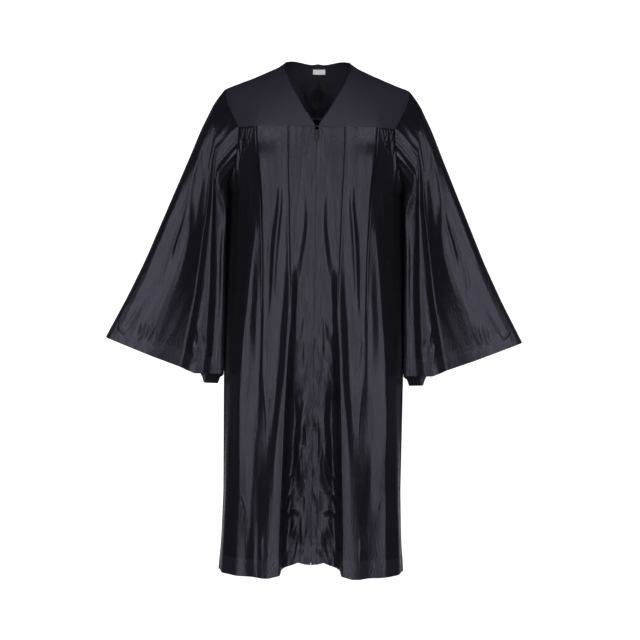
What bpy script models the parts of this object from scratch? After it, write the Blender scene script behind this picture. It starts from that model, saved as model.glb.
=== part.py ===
# Graduation gown, filled out as if worn, with nobody in it.
# Metres, +Z up. The gown faces -Y, and +X is the wearer's left.
# The origin lies between the shoulders, where the neck comes out.
import math
from collections import namedtuple

import bmesh
import bpy
import numpy as np

# Cloth and seams
CLOTH = 0.0015          # wall of the gown's cloth
TAPE = 0.0010           # wall of the zip tape and the label
SEAM_GAP = 0.0003       # between two sewn pieces

# Heights, measured down from the shoulders
FRONT_SEAM = -0.150     # front yoke to front panels
BACK_SEAM = -0.110      # back yoke to back panel
UNDERARM = -0.295
HEM = -1.190
ZIP_TOP = -0.1570
ZIP_BOTTOM = -1.150
FRONT_HEM_LIFT = 0.008  # the front hangs shorter than the sides
CENTRE_HEM_LIFT = 0.017 # and its recessed centre shorter still

# Widths from the centre line
SHOULDER_TIP = 0.2178
YOKE_CORNER = 0.1820    # where yoke, panel and sleeve meet
NECK_SIDE = 0.0710
ZIP_STRIP = 0.0140      # cloth lying flat over the zip, each side

# How the arch of the yoke leans over the shoulders
NECK_ARCH = math.radians(38)   # how far behind the shoulder line the back neck lies

Ring = namedtuple("Ring", "height half_width front back")
BODY_RINGS = (
    Ring(-1.250, 0.2210, 0.152, 0.152),
    Ring(-1.190, 0.2185, 0.150, 0.150),
    Ring(-1.120, 0.2130, 0.147, 0.147),
    Ring(-1.000, 0.2095, 0.143, 0.143),
    Ring(-0.800, 0.2115, 0.137, 0.135),
    Ring(-0.500, 0.2145, 0.129, 0.127),
    Ring(-0.370, 0.2135, 0.124, 0.124),
    Ring(-0.295, 0.2120, 0.121, 0.122),
    Ring(-0.200, 0.2190, 0.118, 0.118),
    Ring(-0.100, 0.2260, 0.118, 0.114),
    Ring(0.000, 0.2320, 0.118, 0.112),
)

Ridge = namedtuple("Ridge", "x height")
SHOULDER_LINE = (
    Ridge(0.0000, 0.0550),
    Ridge(0.0300, 0.0400),
    Ridge(0.0615, 0.0200),
    Ridge(0.0970, -0.0030),
    Ridge(0.1314, -0.0185),
    Ridge(0.1645, -0.0325),
    Ridge(0.2047, -0.0475),
    Ridge(0.2178, -0.0533),
    Ridge(0.2500, -0.0690),
)

NeckEdge = namedtuple("NeckEdge", "lift x")      # lift: 0 at the seam, 1 on the shoulder
V_NECK = (
    NeckEdge(0.00, 0.0045),
    NeckEdge(0.22, 0.0300),
    NeckEdge(0.55, 0.0600),
    NeckEdge(0.90, 0.0800),
    NeckEdge(1.00, NECK_SIDE),
)

Armhole = namedtuple("Armhole", "height x")
ARMHOLE_BELOW_YOKE = (
    Armhole(-0.295, 0.2120),
    Armhole(-0.280, 0.2065),
    Armhole(-0.250, 0.1965),
    Armhole(-0.210, 0.1865),
    Armhole(-0.175, 0.1830),
    Armhole(-0.150, YOKE_CORNER),
    Armhole(-0.110, YOKE_CORNER),
)

# Heights at which the fold tables below give a place and a rise
FOLD_HEIGHTS = (-1.19, -0.85, -0.56, -0.32, -0.150)

Fold = namedtuple("Fold", "kind places widths rises")
# A crest bulges out along its line (or in, where the rise is negative).
# A step raises all of the cloth between the zip and its line.
# Places and widths run from the hem up to the yoke, in metres; rises in millimetres.
FRONT_FOLDS = (
    Fold("crest", (0.060, 0.067, 0.054, 0.060, 0.070), (0.015, 0.014, 0.008, 0.006, 0.005),
         (13.0, 11.0, 6.0, 4.0, 3.0)),                      # pressed pleat beside the zip
    Fold("step", (0.050, 0.056, 0.046, 0.054, 0.065), (0.011, 0.010, 0.008, 0.005, 0.004),
         (-60.0, -42.0, -15.0, -4.0, -0.5)),                # recessed centre front
    Fold("step", (0.098, 0.098, 0.102, 0.1255, 0.1430), (0.016, 0.014, 0.009, 0.006, 0.004),
         (0.0, 1.0, 4.0, 5.0, 2.5)),                        # flat panel lying over the side
    Fold("crest", (0.118, 0.116, 0.118, 0.116, 0.110), (0.024, 0.020, 0.012, 0.010, 0.010),
         (-30.0, -22.0, -9.0, -1.0, 0.0)),                  # deep valley
    Fold("crest", (0.164, 0.179, 0.154, 0.124, 0.118), (0.024, 0.022, 0.015, 0.010, 0.010),
         (12.0, 13.0, 9.0, 2.0, 0.0)),                      # broad crest towards the side
    Fold("crest", (0.088, 0.097, 0.093, 0.090, 0.088), (0.010, 0.010, 0.009, 0.008, 0.008),
         (0.0, 5.0, 5.0, 1.0, 0.0)),                        # short crest on the big fold
)
CORNER_GATHERS = 3          # small gathers under the yoke's outer corner
CORNER_GATHER_FROM = 0.143
CORNER_GATHER_RISE = 0.0022
CORNER_GATHER_FADE = 0.055

# Back: many small gathers at the yoke run together into fewer, deeper folds
BACK_GATHERS = 20           # round the half ring; 12 of them lie under the yoke
BACK_GATHER_RISE = 0.0050
BACK_GATHER_FADE = 0.170
BACK_HEM_FOLDS = 6
BACK_HEM_RISE = 0.017
BACK_SIDE_PLAIN = 0.055     # the back's folds fade out over this width to the side seams

Section = namedtuple("Section", "outer_x outer_z inner_x inner_z front back")
SLEEVE_SECTIONS = (
    Section(0.2440, -0.090, 0.2230, -0.325, 0.084, 0.084),
    Section(0.2710, -0.147, 0.2250, -0.365, 0.088, 0.087),
    Section(0.2935, -0.204, 0.2245, -0.408, 0.088, 0.086),
    Section(0.3290, -0.289, 0.2230, -0.470, 0.084, 0.082),
    Section(0.3645, -0.374, 0.2215, -0.534, 0.080, 0.078),
    Section(0.4000, -0.459, 0.2205, -0.598, 0.076, 0.074),
    Section(0.4403, -0.544, 0.2195, -0.667, 0.072, 0.071),
    Section(0.4780, -0.616, 0.2190, -0.728, 0.069, 0.069),
    Section(0.4925, -0.644, 0.2190, -0.750, 0.068, 0.068),
)
SLEEVE_FLATNESS = 0.75      # 1 is an ellipse, less is flatter with fuller edges
SLEEVE_LAP = 0.019          # how far the front of the sleeve laps over the body's side
SLEEVE_LAP_TURN = math.radians(55)  # and how far round from the underside
CUFF_LEVEL_FROM = 0.783     # the front of the cuff runs level from this share of its breadth
CUFF_TAIL_FROM = 0.815      # and behind, a tail hangs lower from this share
CUFF_TAIL_SLANT = 0.030     # the share over which its side slants down
CUFF_TAIL_DROP = 0.108      # the tail's hem, below the cuff's outer corner
CUFF_TAIL_END = 0.965       # and the share where it ends, by the underside
UNDERSIDE_LIFT = 0.015      # the hem at the underside seam, above the straight line
CUFF_SHAPED_FROM = 0.75     # the share of the sleeve's length that still has straight rows
SLEEVE_LAP_FADE = 0.25      # the lap begins at the armhole and is full at this share
SLEEVE_HEAD_GATHERS = 13    # round the whole armhole, flat under the arm
SLEEVE_GATHER_RISE = 0.0035

SleeveFold = namedtuple("SleeveFold", "side place_head place_cuff width rise_head rise_cuff")
SLEEVE_FOLDS = (             # places and widths are shares of the sleeve's breadth, rises mm
    SleeveFold("front", 0.50, 0.54, 0.110, -1.0, -20.0),
    SleeveFold("front", 0.60, 0.77, 0.045, 2.0, 7.0),
    SleeveFold("front", 0.84, 0.89, 0.030, -1.0, -14.0),
    SleeveFold("back", 0.46, 0.42, 0.120, -1.0, -18.0),
    SleeveFold("back", 0.70, 0.72, 0.090, -1.0, -12.0),
)

# Zip slider and its pull tab
SLIDER_HALF_WIDTH = 0.0040
SLIDER_LENGTH = 0.0100
SLIDER_PLATE = 0.0012
SLIDER_SLACK = 0.0005       # between each plate and the tape
SLIDER_TOP = -0.1592
POST_HALF_WIDTH = 0.0010
POST_LENGTH = 0.0025
BRIDGE_HALF_WIDTH = 0.0008
BRIDGE_FOOT = 0.0012
BRIDGE_HALF_LENGTH = 0.0029
BRIDGE_BAR = 0.0010
BRIDGE_BAR_HALF_WIDTH = 0.0010
BRIDGE_BAR_HALF_LENGTH = 0.0031
PULL_REACH = 0.0019         # from the slider's face out to the pull's axis
PULL_ROOM = 0.0011          # from the pull's axis out to the bridge's bar
PULL_THICK = 0.0012
PULL_LENGTH = 0.0200
PULL_TOP_WIDTH = 0.0056
PULL_LOW_WIDTH = 0.0070
PULL_EYE_HALF_WIDTH = 0.0013
PULL_EYE_LENGTH = 0.0036
CLOTH_PART = 0.0049         # how far the cloth edges part beside the slider
CLOTH_PART_FROM = -0.1750   # where they begin to part
CLOTH_PART_OVER = 0.0040    # and over what height

LABEL_HALF_WIDTH = 0.0155
LABEL_TOP = 0.0105
LABEL_BOTTOM = -0.0050
LABEL_GAP = 0.0009

# Grid sizes
YOKE_ROWS = 5
YOKE_COLUMNS = 9
NECK_COLUMNS = 8
ARMHOLE_ROWS = 6
SKIRT_ROWS = 13
BACK_COLUMNS = 48
SLEEVE_ROWS = 10
FRONT_COLUMNS = (2, 3, 5, 5, 5, 5)

Finish = namedtuple("Finish", "colour roughness metallic")
FINISHES = {
    "satin": Finish((0.012, 0.011, 0.016), 0.35, 0.0),
    "fused_satin": Finish((0.030, 0.028, 0.038), 0.50, 0.0),
    "zip_tape": Finish((0.010, 0.010, 0.012), 0.80, 0.0),
    "zip_metal": Finish((0.020, 0.020, 0.022), 0.30, 1.0),
    "label": Finish((0.85, 0.85, 0.83), 0.70, 0.0),
}


def clear_scene():
    for thing in list(bpy.data.objects):
        bpy.data.objects.remove(thing, do_unlink=True)


def material(name):
    found = bpy.data.materials.get(name)
    if found:
        return found
    finish = FINISHES[name]
    made = bpy.data.materials.new(name)
    made.use_nodes = True
    shader = made.node_tree.nodes["Principled BSDF"]
    shader.inputs["Base Color"].default_value = (*finish.colour, 1.0)
    shader.inputs["Roughness"].default_value = finish.roughness
    shader.inputs["Metallic"].default_value = finish.metallic
    return made


# Reading the tables

def column(rows, name):
    return np.array([getattr(row, name) for row in rows])


def read_table(keys, values, at, reach):
    """Value between the rows of a table, rounded off over a reach each way."""
    at = np.asarray(at, dtype=float)
    steps = np.linspace(-reach, reach, 9)
    return sum(np.interp(at + step, keys, values) for step in steps) / len(steps)


def body_size(height):
    keys = column(BODY_RINGS, "height")
    names = ("half_width", "front", "back")
    return [read_table(keys, column(BODY_RINGS, name), height, 0.03) for name in names]


def shoulder_height(x):
    return read_table(column(SHOULDER_LINE, "x"), column(SHOULDER_LINE, "height"), np.abs(x), 0.008)


def smooth(value):
    value = np.clip(value, 0.0, 1.0)
    return value * value * (3.0 - 2.0 * value)


# The form that the cloth hangs in

def yoke_armhole_x(lift):
    return YOKE_CORNER + (SHOULDER_TIP - YOKE_CORNER) * np.sin(math.pi / 2 * np.asarray(lift))


def yoke_point(x, arch, side):
    """A point of the yoke: arch is 90 degrees at its seam and 0 on the shoulder."""
    seam = FRONT_SEAM if side < 0 else BACK_SEAM
    half_width, front, back = body_size(seam)
    depth = (front if side < 0 else back) * np.sqrt(np.clip(1 - (x / half_width) ** 2, 0, 1))
    height = seam + (shoulder_height(x) - seam) * np.cos(arch)
    return np.stack([x, side * depth * np.sin(arch), height + 0 * x], axis=-1)


def armhole_x(height):
    return read_table(column(ARMHOLE_BELOW_YOKE, "height"), column(ARMHOLE_BELOW_YOKE, "x"),
                      height, 0.004)


def side_angle(height):
    """How far round the ring a panel reaches: 90 degrees is the side seam."""
    half_width, _, _ = body_size(height)
    share = np.where(height < UNDERARM + 1e-6, 1.0, armhole_x(height) / half_width)
    return np.arcsin(np.clip(share, 0.0, 1.0))


def fold_value(values, height):
    return read_table(np.array(FOLD_HEIGHTS), np.array(values), height, 0.07)


def front_relief(x, height):
    """How far the front cloth stands out of its ring, at a distance x from the zip."""
    out = 0.0 * x
    for fold in FRONT_FOLDS:
        offset = (x - fold_value(fold.places, height)) / fold_value(fold.widths, height)
        rise = fold_value(fold.rises, height) / 1000
        if fold.kind == "crest":
            out = out + rise * np.exp(-offset ** 2)
        else:
            out = out + rise * smooth(0.5 - offset / 2)
    gather = np.sin((x - CORNER_GATHER_FROM) / (YOKE_CORNER - CORNER_GATHER_FROM)
                    * 2 * math.pi * CORNER_GATHERS)
    inside = (x > CORNER_GATHER_FROM) & (x < YOKE_CORNER)
    fade = np.exp(-(FRONT_SEAM - height) / CORNER_GATHER_FADE)
    out = out + np.where(inside, CORNER_GATHER_RISE * gather * fade, 0.0)
    return out


def back_relief(turn, height):
    """Turn runs from -1 at one side seam to 1 at the other."""
    down = np.clip((BACK_SEAM - height) / (BACK_SEAM - HEM), 0, 1)
    gathers = np.cos(math.pi * BACK_GATHERS * turn)
    fade = smooth(1 - (BACK_SEAM - height) / BACK_GATHER_FADE)
    drift = 0.05 * np.sin(math.pi * (1.5 * turn + 0.3)) + 0.03 * down
    folds = np.cos(math.pi * BACK_HEM_FOLDS * (turn + drift))
    uneven = 1 + 0.30 * np.sin(math.pi * (2.3 * turn + 0.4))
    return BACK_GATHER_RISE * gathers * fade + BACK_HEM_RISE * uneven * folds * smooth(down * 1.15)


def edge_window(distance, width):
    """Folds fade out towards a panel's edge over this width."""
    return smooth(distance / width)


def body_point(angle, height, relief, side):
    """A point of the body at an angle round its ring, 0 in front or behind, 90 at the side."""
    half_width, front, back = body_size(height)
    depth = front if side < 0 else back
    x = (half_width + relief) * np.sin(angle)
    y = side * (depth + relief) * np.cos(angle)
    return np.stack([x, y, height + 0 * x], axis=-1)


def hem_lift(x, height):
    """Only the lowest rows rise at the recessed centre front."""
    near_hem = smooth((height + 0.80) / (HEM + 0.80))
    centre = 1 - smooth((x - 0.030) / 0.030)
    front = 1 - smooth((x - 0.120) / 0.100)
    return near_hem * (CENTRE_HEM_LIFT * centre + FRONT_HEM_LIFT * front)


def front_points(angle, height):
    half_width, _, _ = body_size(height)
    x = half_width * np.sin(angle)
    side = side_angle(height)
    relief = front_relief(x, height)
    at_armhole = edge_window((side - angle) * half_width, 0.022)
    at_side = edge_window((math.pi / 2 - angle) * half_width, 0.030)
    relief = relief * np.where(height > UNDERARM + 1e-6, at_armhole, at_side)
    points = body_point(angle, height, relief, -1)
    points[..., 2] += hem_lift(x, height)
    return points


def back_points(share, height):
    side = side_angle(height)
    half_width, _, _ = body_size(height)
    angle = share * side
    relief = back_relief(angle / (math.pi / 2), height)
    relief = relief * edge_window((1 - np.abs(share)) * half_width, BACK_SIDE_PLAIN)
    return body_point(angle, height, relief, 1)


# Heights of the rows, which the armhole and the sleeve head share

def yoke_arches():
    return np.radians(np.linspace(0, 90, YOKE_ROWS + 1))


def panel_heights(seam):
    tip = float(shoulder_height(SHOULDER_TIP))
    first = math.acos(1 - 2 * (tip - seam) / (tip - UNDERARM))
    turns = np.linspace(first, math.pi, ARMHOLE_ROWS + 1)
    upper = tip + (UNDERARM - tip) * (1 - np.cos(turns)) / 2
    lower = np.linspace(UNDERARM, HEM, SKIRT_ROWS + 1)[1:]
    return np.concatenate([upper, lower])


def armhole_side(side):
    """The armhole from the shoulder tip down to the underarm, in front or behind."""
    arches = yoke_arches()
    top = yoke_point(yoke_armhole_x(np.cos(arches)), arches, side)
    heights = panel_heights(FRONT_SEAM if side < 0 else BACK_SEAM)[1:ARMHOLE_ROWS + 1]
    points = body_point(side_angle(heights), heights, 0.0 * heights, side)
    return np.concatenate([top, points])


# Walls

def wall_directions(points, closed, centre):
    padded = np.concatenate([points[:, -1:], points, points[:, :1]], axis=1) if closed else points
    along = np.gradient(padded, axis=1)
    down = np.gradient(padded, axis=0)
    if closed:
        along = along[:, 1:-1]
        down = down[:, 1:-1]
    normal = np.cross(down, along)
    normal = normal / np.linalg.norm(normal, axis=2, keepdims=True)
    if np.sum(normal * (points - centre)) < 0:
        normal = -normal
    return normal


def keep_off(directions, edge, axis):
    """At a seam the wall's thickness runs square to the seam, so neighbours can't meet."""
    picked = directions[edge].copy()
    full = picked.copy()
    picked[:, axis] = 0
    picked = picked / np.linalg.norm(picked, axis=1, keepdims=True)
    lean = np.clip(np.sum(picked * full, axis=1, keepdims=True), 0.6, 1.0)
    directions[edge] = picked / lean


def make_wall(name, outer, inner, finish, closed=False):
    rows, columns = outer.shape[:2]
    mesh = bmesh.new()
    faces_out = [[mesh.verts.new(point) for point in row] for row in outer]
    faces_in = [[mesh.verts.new(point) for point in row] for row in inner]

    def two_triangles(a, b, c, d, split):
        if split:
            mesh.faces.new((a, b, c))
            mesh.faces.new((a, c, d))
        else:
            mesh.faces.new((a, b, d))
            mesh.faces.new((b, c, d))

    last = columns if closed else columns - 1
    for row in range(rows - 1):
        for place in range(last):
            after = (place + 1) % columns
            one = np.linalg.norm(outer[row, place] - outer[row + 1, after])
            other = np.linalg.norm(outer[row, after] - outer[row + 1, place])
            corners = [(row, place), (row, after), (row + 1, after), (row + 1, place)]
            two_triangles(*[faces_out[i][j] for i, j in corners], one < other)
            two_triangles(*[faces_in[i][j] for i, j in corners], one < other)
    for place in range(last):
        after = (place + 1) % columns
        for row in (0, rows - 1):
            two_triangles(faces_out[row][place], faces_out[row][after],
                          faces_in[row][after], faces_in[row][place], True)
    if not closed:
        for row in range(rows - 1):
            for place in (0, columns - 1):
                two_triangles(faces_out[row][place], faces_out[row + 1][place],
                              faces_in[row + 1][place], faces_in[row][place], True)
    bmesh.ops.recalc_face_normals(mesh, faces=mesh.faces)
    return finish_object(name, mesh, finish)


def finish_object(name, mesh, finish):
    data = bpy.data.meshes.new(name)
    mesh.to_mesh(data)
    mesh.free()
    data.shade_smooth()
    data.set_sharp_from_angle(angle=math.radians(50))
    made = bpy.data.objects.new(name, data)
    made.data.materials.append(material(finish))
    bpy.context.scene.collection.objects.link(made)
    return made


def mirrored(points):
    return points * np.array([-1.0, 1.0, 1.0])


FIRST_ROW = np.s_[0, :]
LAST_ROW = np.s_[-1, :]
FIRST_COLUMN = np.s_[:, 0]
LAST_COLUMN = np.s_[:, -1]
AXIS_X = 0
AXIS_Y = 1
AXIS_Z = 2
BODY_CENTRE = np.array([0.0, 0.0, -0.30])


# The gown's pieces

def front_yokes():
    arches = yoke_arches()
    lift = np.cos(arches)
    inner_x = read_table(column(V_NECK, "lift"), column(V_NECK, "x"), lift, 0.03)
    inner_x[0] = NECK_SIDE
    outer_x = yoke_armhole_x(lift)
    share = np.linspace(0, 1, YOKE_COLUMNS + 1)
    x = inner_x[:, None] + (outer_x - inner_x)[:, None] * share
    points = yoke_point(x, np.repeat(arches[:, None], len(share), axis=1), -1)
    directions = wall_directions(points, False, BODY_CENTRE)
    keep_off(directions, FIRST_ROW, AXIS_Y)
    keep_off(directions, LAST_ROW, AXIS_Z)
    points[FIRST_ROW][:, 1] -= SEAM_GAP / 2
    points[LAST_ROW][:, 2] += SEAM_GAP / 2
    inner = points - directions * CLOTH
    make_wall("front_yoke_left", points, inner, "fused_satin")
    make_wall("front_yoke_right", mirrored(points), mirrored(inner), "fused_satin")


def back_yoke_shares():
    neck = NECK_SIDE / SHOULDER_TIP
    side = np.linspace(neck, 1, YOKE_COLUMNS - 2)
    middle = np.linspace(-neck, neck, NECK_COLUMNS + 1)
    return np.concatenate([-side[::-1], middle[1:-1], side])


def back_yoke():
    share = back_yoke_shares()
    down = np.linspace(0, 1, YOKE_ROWS + 1)[:, None]
    neck = NECK_SIDE / SHOULDER_TIP
    scoop = np.cos(math.pi / 2 * np.clip(np.abs(share) / neck, 0, 1)) ** 0.8
    top_arch = NECK_ARCH * np.where(np.abs(share) < neck, scoop, 0)
    arch = top_arch + (math.pi / 2 - top_arch) * down
    x = share * yoke_armhole_x(np.cos(math.pi / 2 * down))
    points = yoke_point(x, arch, 1)
    directions = wall_directions(points, False, BODY_CENTRE)
    keep_off(directions, LAST_ROW, AXIS_Z)
    on_shoulder = np.abs(share) >= neck - 1e-9
    top = directions[FIRST_ROW].copy()
    keep_off(directions, FIRST_ROW, AXIS_Y)
    directions[FIRST_ROW] = np.where(on_shoulder[:, None], directions[FIRST_ROW], top)
    points[FIRST_ROW][:, 1] += np.where(on_shoulder, SEAM_GAP / 2, 0)
    points[LAST_ROW][:, 2] += SEAM_GAP / 2
    make_wall("back_yoke", points, points - directions * CLOTH, "fused_satin")


def centre_edge(height):
    """Distance of the cloth's edge from the centre line: it parts beside the slider."""
    parting = smooth((height - CLOTH_PART_FROM) / CLOTH_PART_OVER)
    return 0.0004 + (CLOTH_PART - 0.0004) * parting


def front_grid():
    heights = panel_heights(FRONT_SEAM)
    extra = np.array([CLOTH_PART_FROM, CLOTH_PART_FROM + CLOTH_PART_OVER])
    heights = np.sort(np.concatenate([heights, extra]))[::-1]
    half_width, _, _ = body_size(heights)
    pleat = fold_value(FRONT_FOLDS[0].places, heights)
    valley = fold_value(FRONT_FOLDS[3].places, heights)
    crest = fold_value(FRONT_FOLDS[4].places, heights)
    end = half_width * np.sin(side_angle(heights))
    last_station = np.minimum(np.maximum(crest, valley + 0.015), end - 0.012)
    stations = (centre_edge(heights), 0 * heights + ZIP_STRIP, pleat - 0.022, pleat + 0.010,
                valley, last_station, end)
    angles = [np.arcsin(np.clip(place / half_width, 0, 1)) for place in stations]
    angles[-1] = side_angle(heights)
    columns = []
    for start, stop, count in zip(angles[:-1], angles[1:], FRONT_COLUMNS):
        for step in range(count):
            columns.append(start + (stop - start) * step / count)
    columns.append(angles[-1])
    return np.stack(columns, axis=1), np.repeat(heights[:, None], len(columns), axis=1)


def front_panels():
    angle, height = front_grid()
    points = front_points(angle, height)
    directions = wall_directions(points, False, BODY_CENTRE)
    below = height[:, 0] < UNDERARM + 1e-6
    side = directions[LAST_COLUMN].copy()
    keep_off(directions, LAST_COLUMN, AXIS_Y)
    directions[LAST_COLUMN] = np.where(below[:, None], directions[LAST_COLUMN], side)
    keep_off(directions, FIRST_ROW, AXIS_Z)
    keep_off(directions, FIRST_COLUMN, AXIS_X)
    points[FIRST_ROW][:, 2] -= SEAM_GAP / 2
    points[LAST_COLUMN][:, 1] -= np.where(below, SEAM_GAP / 2, 0)
    inner = points - directions * CLOTH
    make_wall("front_panel_left", points, inner, "satin")
    make_wall("front_panel_right", mirrored(points), mirrored(inner), "satin")


def back_panel():
    heights = panel_heights(BACK_SEAM)
    share = np.linspace(-1, 1, BACK_COLUMNS + 1)
    height = np.repeat(heights[:, None], len(share), axis=1)
    points = back_points(np.repeat(share[None, :], len(heights), axis=0), height)
    directions = wall_directions(points, False, BODY_CENTRE)
    below = heights < UNDERARM + 1e-6
    for edge in (FIRST_COLUMN, LAST_COLUMN):
        side = directions[edge].copy()
        keep_off(directions, edge, AXIS_Y)
        directions[edge] = np.where(below[:, None], directions[edge], side)
        points[edge][:, 1] += np.where(below, SEAM_GAP / 2, 0)
    keep_off(directions, FIRST_ROW, AXIS_Z)
    points[FIRST_ROW][:, 2] -= SEAM_GAP / 2
    make_wall("back_panel", points, points - directions * CLOTH, "satin")


def halved(points):
    """The same line with a point added halfway along each stretch."""
    middles = (points[:-1] + points[1:]) / 2
    out = np.empty((len(points) + len(middles),) + points.shape[1:])
    out[0::2] = points
    out[1::2] = middles
    return out


def armhole_ring():
    """Closed loop of points, down the front of the armhole and up its back, with turn angles."""
    front = halved(armhole_side(-1))
    back = halved(armhole_side(1))
    tip, bottom = front[0, 2], front[-1, 2]
    turn_front = np.arccos(np.clip(1 - 2 * (tip - front[:, 2]) / (tip - bottom), -1, 1))
    turn_back = 2 * math.pi - np.arccos(np.clip(1 - 2 * (tip - back[:, 2]) / (tip - bottom), -1, 1))
    ring = np.concatenate([front, back[-2:0:-1]])
    turns = np.concatenate([turn_front, turn_back[-2:0:-1]])
    return ring, turns


def sleeve_relief(turn, down):
    share = (1 - np.cos(turn)) / 2
    out = 0.0 * turn
    for fold in SLEEVE_FOLDS:
        place = fold.place_head + (fold.place_cuff - fold.place_head) * smooth(down * 1.6)
        rise = (fold.rise_head + (fold.rise_cuff - fold.rise_head) * down) / 1000
        on_side = turn < math.pi if fold.side == "front" else turn > math.pi
        out = out + np.where(on_side, rise * np.exp(-((share - place) / fold.width) ** 2), 0)
    head = (0.5 + 0.5 * np.cos(turn)) ** 0.6 * np.exp(-(down / 0.16) ** 2)
    return out + SLEEVE_GATHER_RISE * head * np.cos(SLEEVE_HEAD_GATHERS * turn)


def sleeve_section(down):
    count = len(SLEEVE_SECTIONS)
    keys = np.linspace(0, 1, count)
    return [read_table(keys, column(SLEEVE_SECTIONS, name), down, 0.03)
            for name in Section._fields]


def cuff_shift(turn, down):
    """How far the hem of the cuff is above the straight line from its outer to its inner end."""
    share = (1 - np.cos(turn)) / 2
    slope = SLEEVE_SECTIONS[-1].outer_z - SLEEVE_SECTIONS[-1].inner_z
    level = slope * np.clip(share - CUFF_LEVEL_FROM, 0, None)
    at_end = smooth((share - CUFF_TAIL_END) / (1 - CUFF_TAIL_END))
    front = level + (UNDERSIDE_LIFT - level) * at_end
    tail = -(CUFF_TAIL_DROP - slope * share) * smooth((share - CUFF_TAIL_FROM) / CUFF_TAIL_SLANT)
    behind = tail + (UNDERSIDE_LIFT - tail) * at_end
    over_length = smooth((down - CUFF_SHAPED_FROM) / (1 - CUFF_SHAPED_FROM))
    return np.where(turn < math.pi, front, behind) * over_length


def sleeve_lap(turn, down):
    """How far the front of the sleeve reaches in over the side of the body."""
    from_underside = np.clip((math.pi - turn) / SLEEVE_LAP_TURN, 0, 1)
    return SLEEVE_LAP * np.sin(math.pi * from_underside) ** 2 * smooth(down / SLEEVE_LAP_FADE)


def sleeve_points(turn, down):
    """A point of the sleeve: turn 0 is its outer edge, 180 degrees its underside."""
    outer_x, outer_z, inner_x, inner_z, front, back = sleeve_section(down)
    share = (1 - np.cos(turn)) / 2
    length = np.hypot(inner_x - outer_x, inner_z - outer_z)
    across_x, across_z = (inner_x - outer_x) / length, (inner_z - outer_z) / length
    depth = np.where(np.sin(turn) > 0, front, back)
    relief = sleeve_relief(turn, down)
    x = outer_x + (inner_x - outer_x) * share - across_x * np.cos(turn) * relief
    z = outer_z + (inner_z - outer_z) * share - across_z * np.cos(turn) * relief
    round_off = np.sign(np.sin(turn)) * np.abs(np.sin(turn)) ** SLEEVE_FLATNESS
    y = -round_off * (depth + relief)
    x = x - sleeve_lap(turn, down)
    z = z + cuff_shift(turn, down)
    return np.stack([x, y, z], axis=-1)


def sleeve_grid():
    ring, turns = armhole_ring()
    down = np.linspace(0, 1, SLEEVE_ROWS) ** 1.15
    turn = np.repeat(turns[None, :], SLEEVE_ROWS, axis=0)
    points = sleeve_points(turn, np.repeat(down[:, None], len(turns), axis=1))
    return np.concatenate([ring[None], points])


def sleeves():
    points = sleeve_grid()
    middle = points.mean(axis=1, keepdims=True)
    directions = wall_directions(points, True, middle)
    points[0, :, 0] += SEAM_GAP + CLOTH * np.clip(directions[0, :, 0], 0, 1)
    inner = points - directions * CLOTH
    make_wall("sleeve_left", points, inner, "satin", closed=True)
    make_wall("sleeve_right", mirrored(points), mirrored(inner), "satin", closed=True)


# The zip

def zip_line(height):
    """Outer face of the cloth beside the zip."""
    at = np.array([height])
    half_width, _, _ = body_size(at)
    return float(front_points(np.arcsin(0.002 / half_width), at)[0, 1])


def zip_tapes():
    angle, height = front_grid()
    keep = (height[:, 0] < ZIP_TOP) & (height[:, 0] > ZIP_BOTTOM)
    post_end = SLIDER_TOP - POST_LENGTH - 2 * SEAM_GAP
    heights = np.concatenate([[ZIP_TOP, post_end], height[keep, 0], [ZIP_BOTTOM]])
    half_width, _, _ = body_size(heights)
    beside_post = np.where(heights >= post_end, POST_HALF_WIDTH + SEAM_GAP, 0)
    inner_edge = SEAM_GAP / 2 + beside_post
    share = np.linspace(0, 1, 3)
    x = inner_edge[:, None] + (ZIP_STRIP - 0.001 - inner_edge)[:, None] * share
    tall = np.repeat(heights[:, None], len(share), axis=1)
    points = front_points(np.arcsin(x / half_width[:, None]), tall)
    directions = wall_directions(points, False, BODY_CENTRE)
    keep_off(directions, FIRST_COLUMN, AXIS_X)
    outer = points - directions * (CLOTH + SEAM_GAP)
    inner = outer - directions * TAPE
    make_wall("zip_tape_left", outer, inner, "zip_tape")
    make_wall("zip_tape_right", mirrored(outer), mirrored(inner), "zip_tape")


def add_box(name, low, high):
    mesh = bmesh.new()
    bmesh.ops.create_cube(mesh, size=1.0)
    size = np.array(high) - np.array(low)
    middle = (np.array(high) + np.array(low)) / 2
    for vert in mesh.verts:
        vert.co = [vert.co[i] * size[i] + middle[i] for i in range(3)]
    return finish_object(name, mesh, "zip_metal")


def combine(base, others, operation):
    for other in others:
        boolean = base.modifiers.new(other.name, "BOOLEAN")
        boolean.operation = operation
        boolean.solver = "EXACT"
        boolean.object = other
        other.hide_render = True
        other.display_type = "WIRE"


def bevel(thing, width):
    modifier = thing.modifiers.new("edges", "BEVEL")
    modifier.width = width
    modifier.segments = 2
    modifier.limit_method = "ANGLE"
    modifier.angle_limit = math.radians(40)


def slider_places():
    """The slider's depths: face of its front plate, and the pull's axis."""
    middle = SLIDER_TOP - SLIDER_LENGTH / 2
    tape_front = zip_line(middle) + CLOTH + SEAM_GAP
    face = tape_front - SLIDER_SLACK - SLIDER_PLATE
    return middle, tape_front, face, face - PULL_REACH


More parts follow.
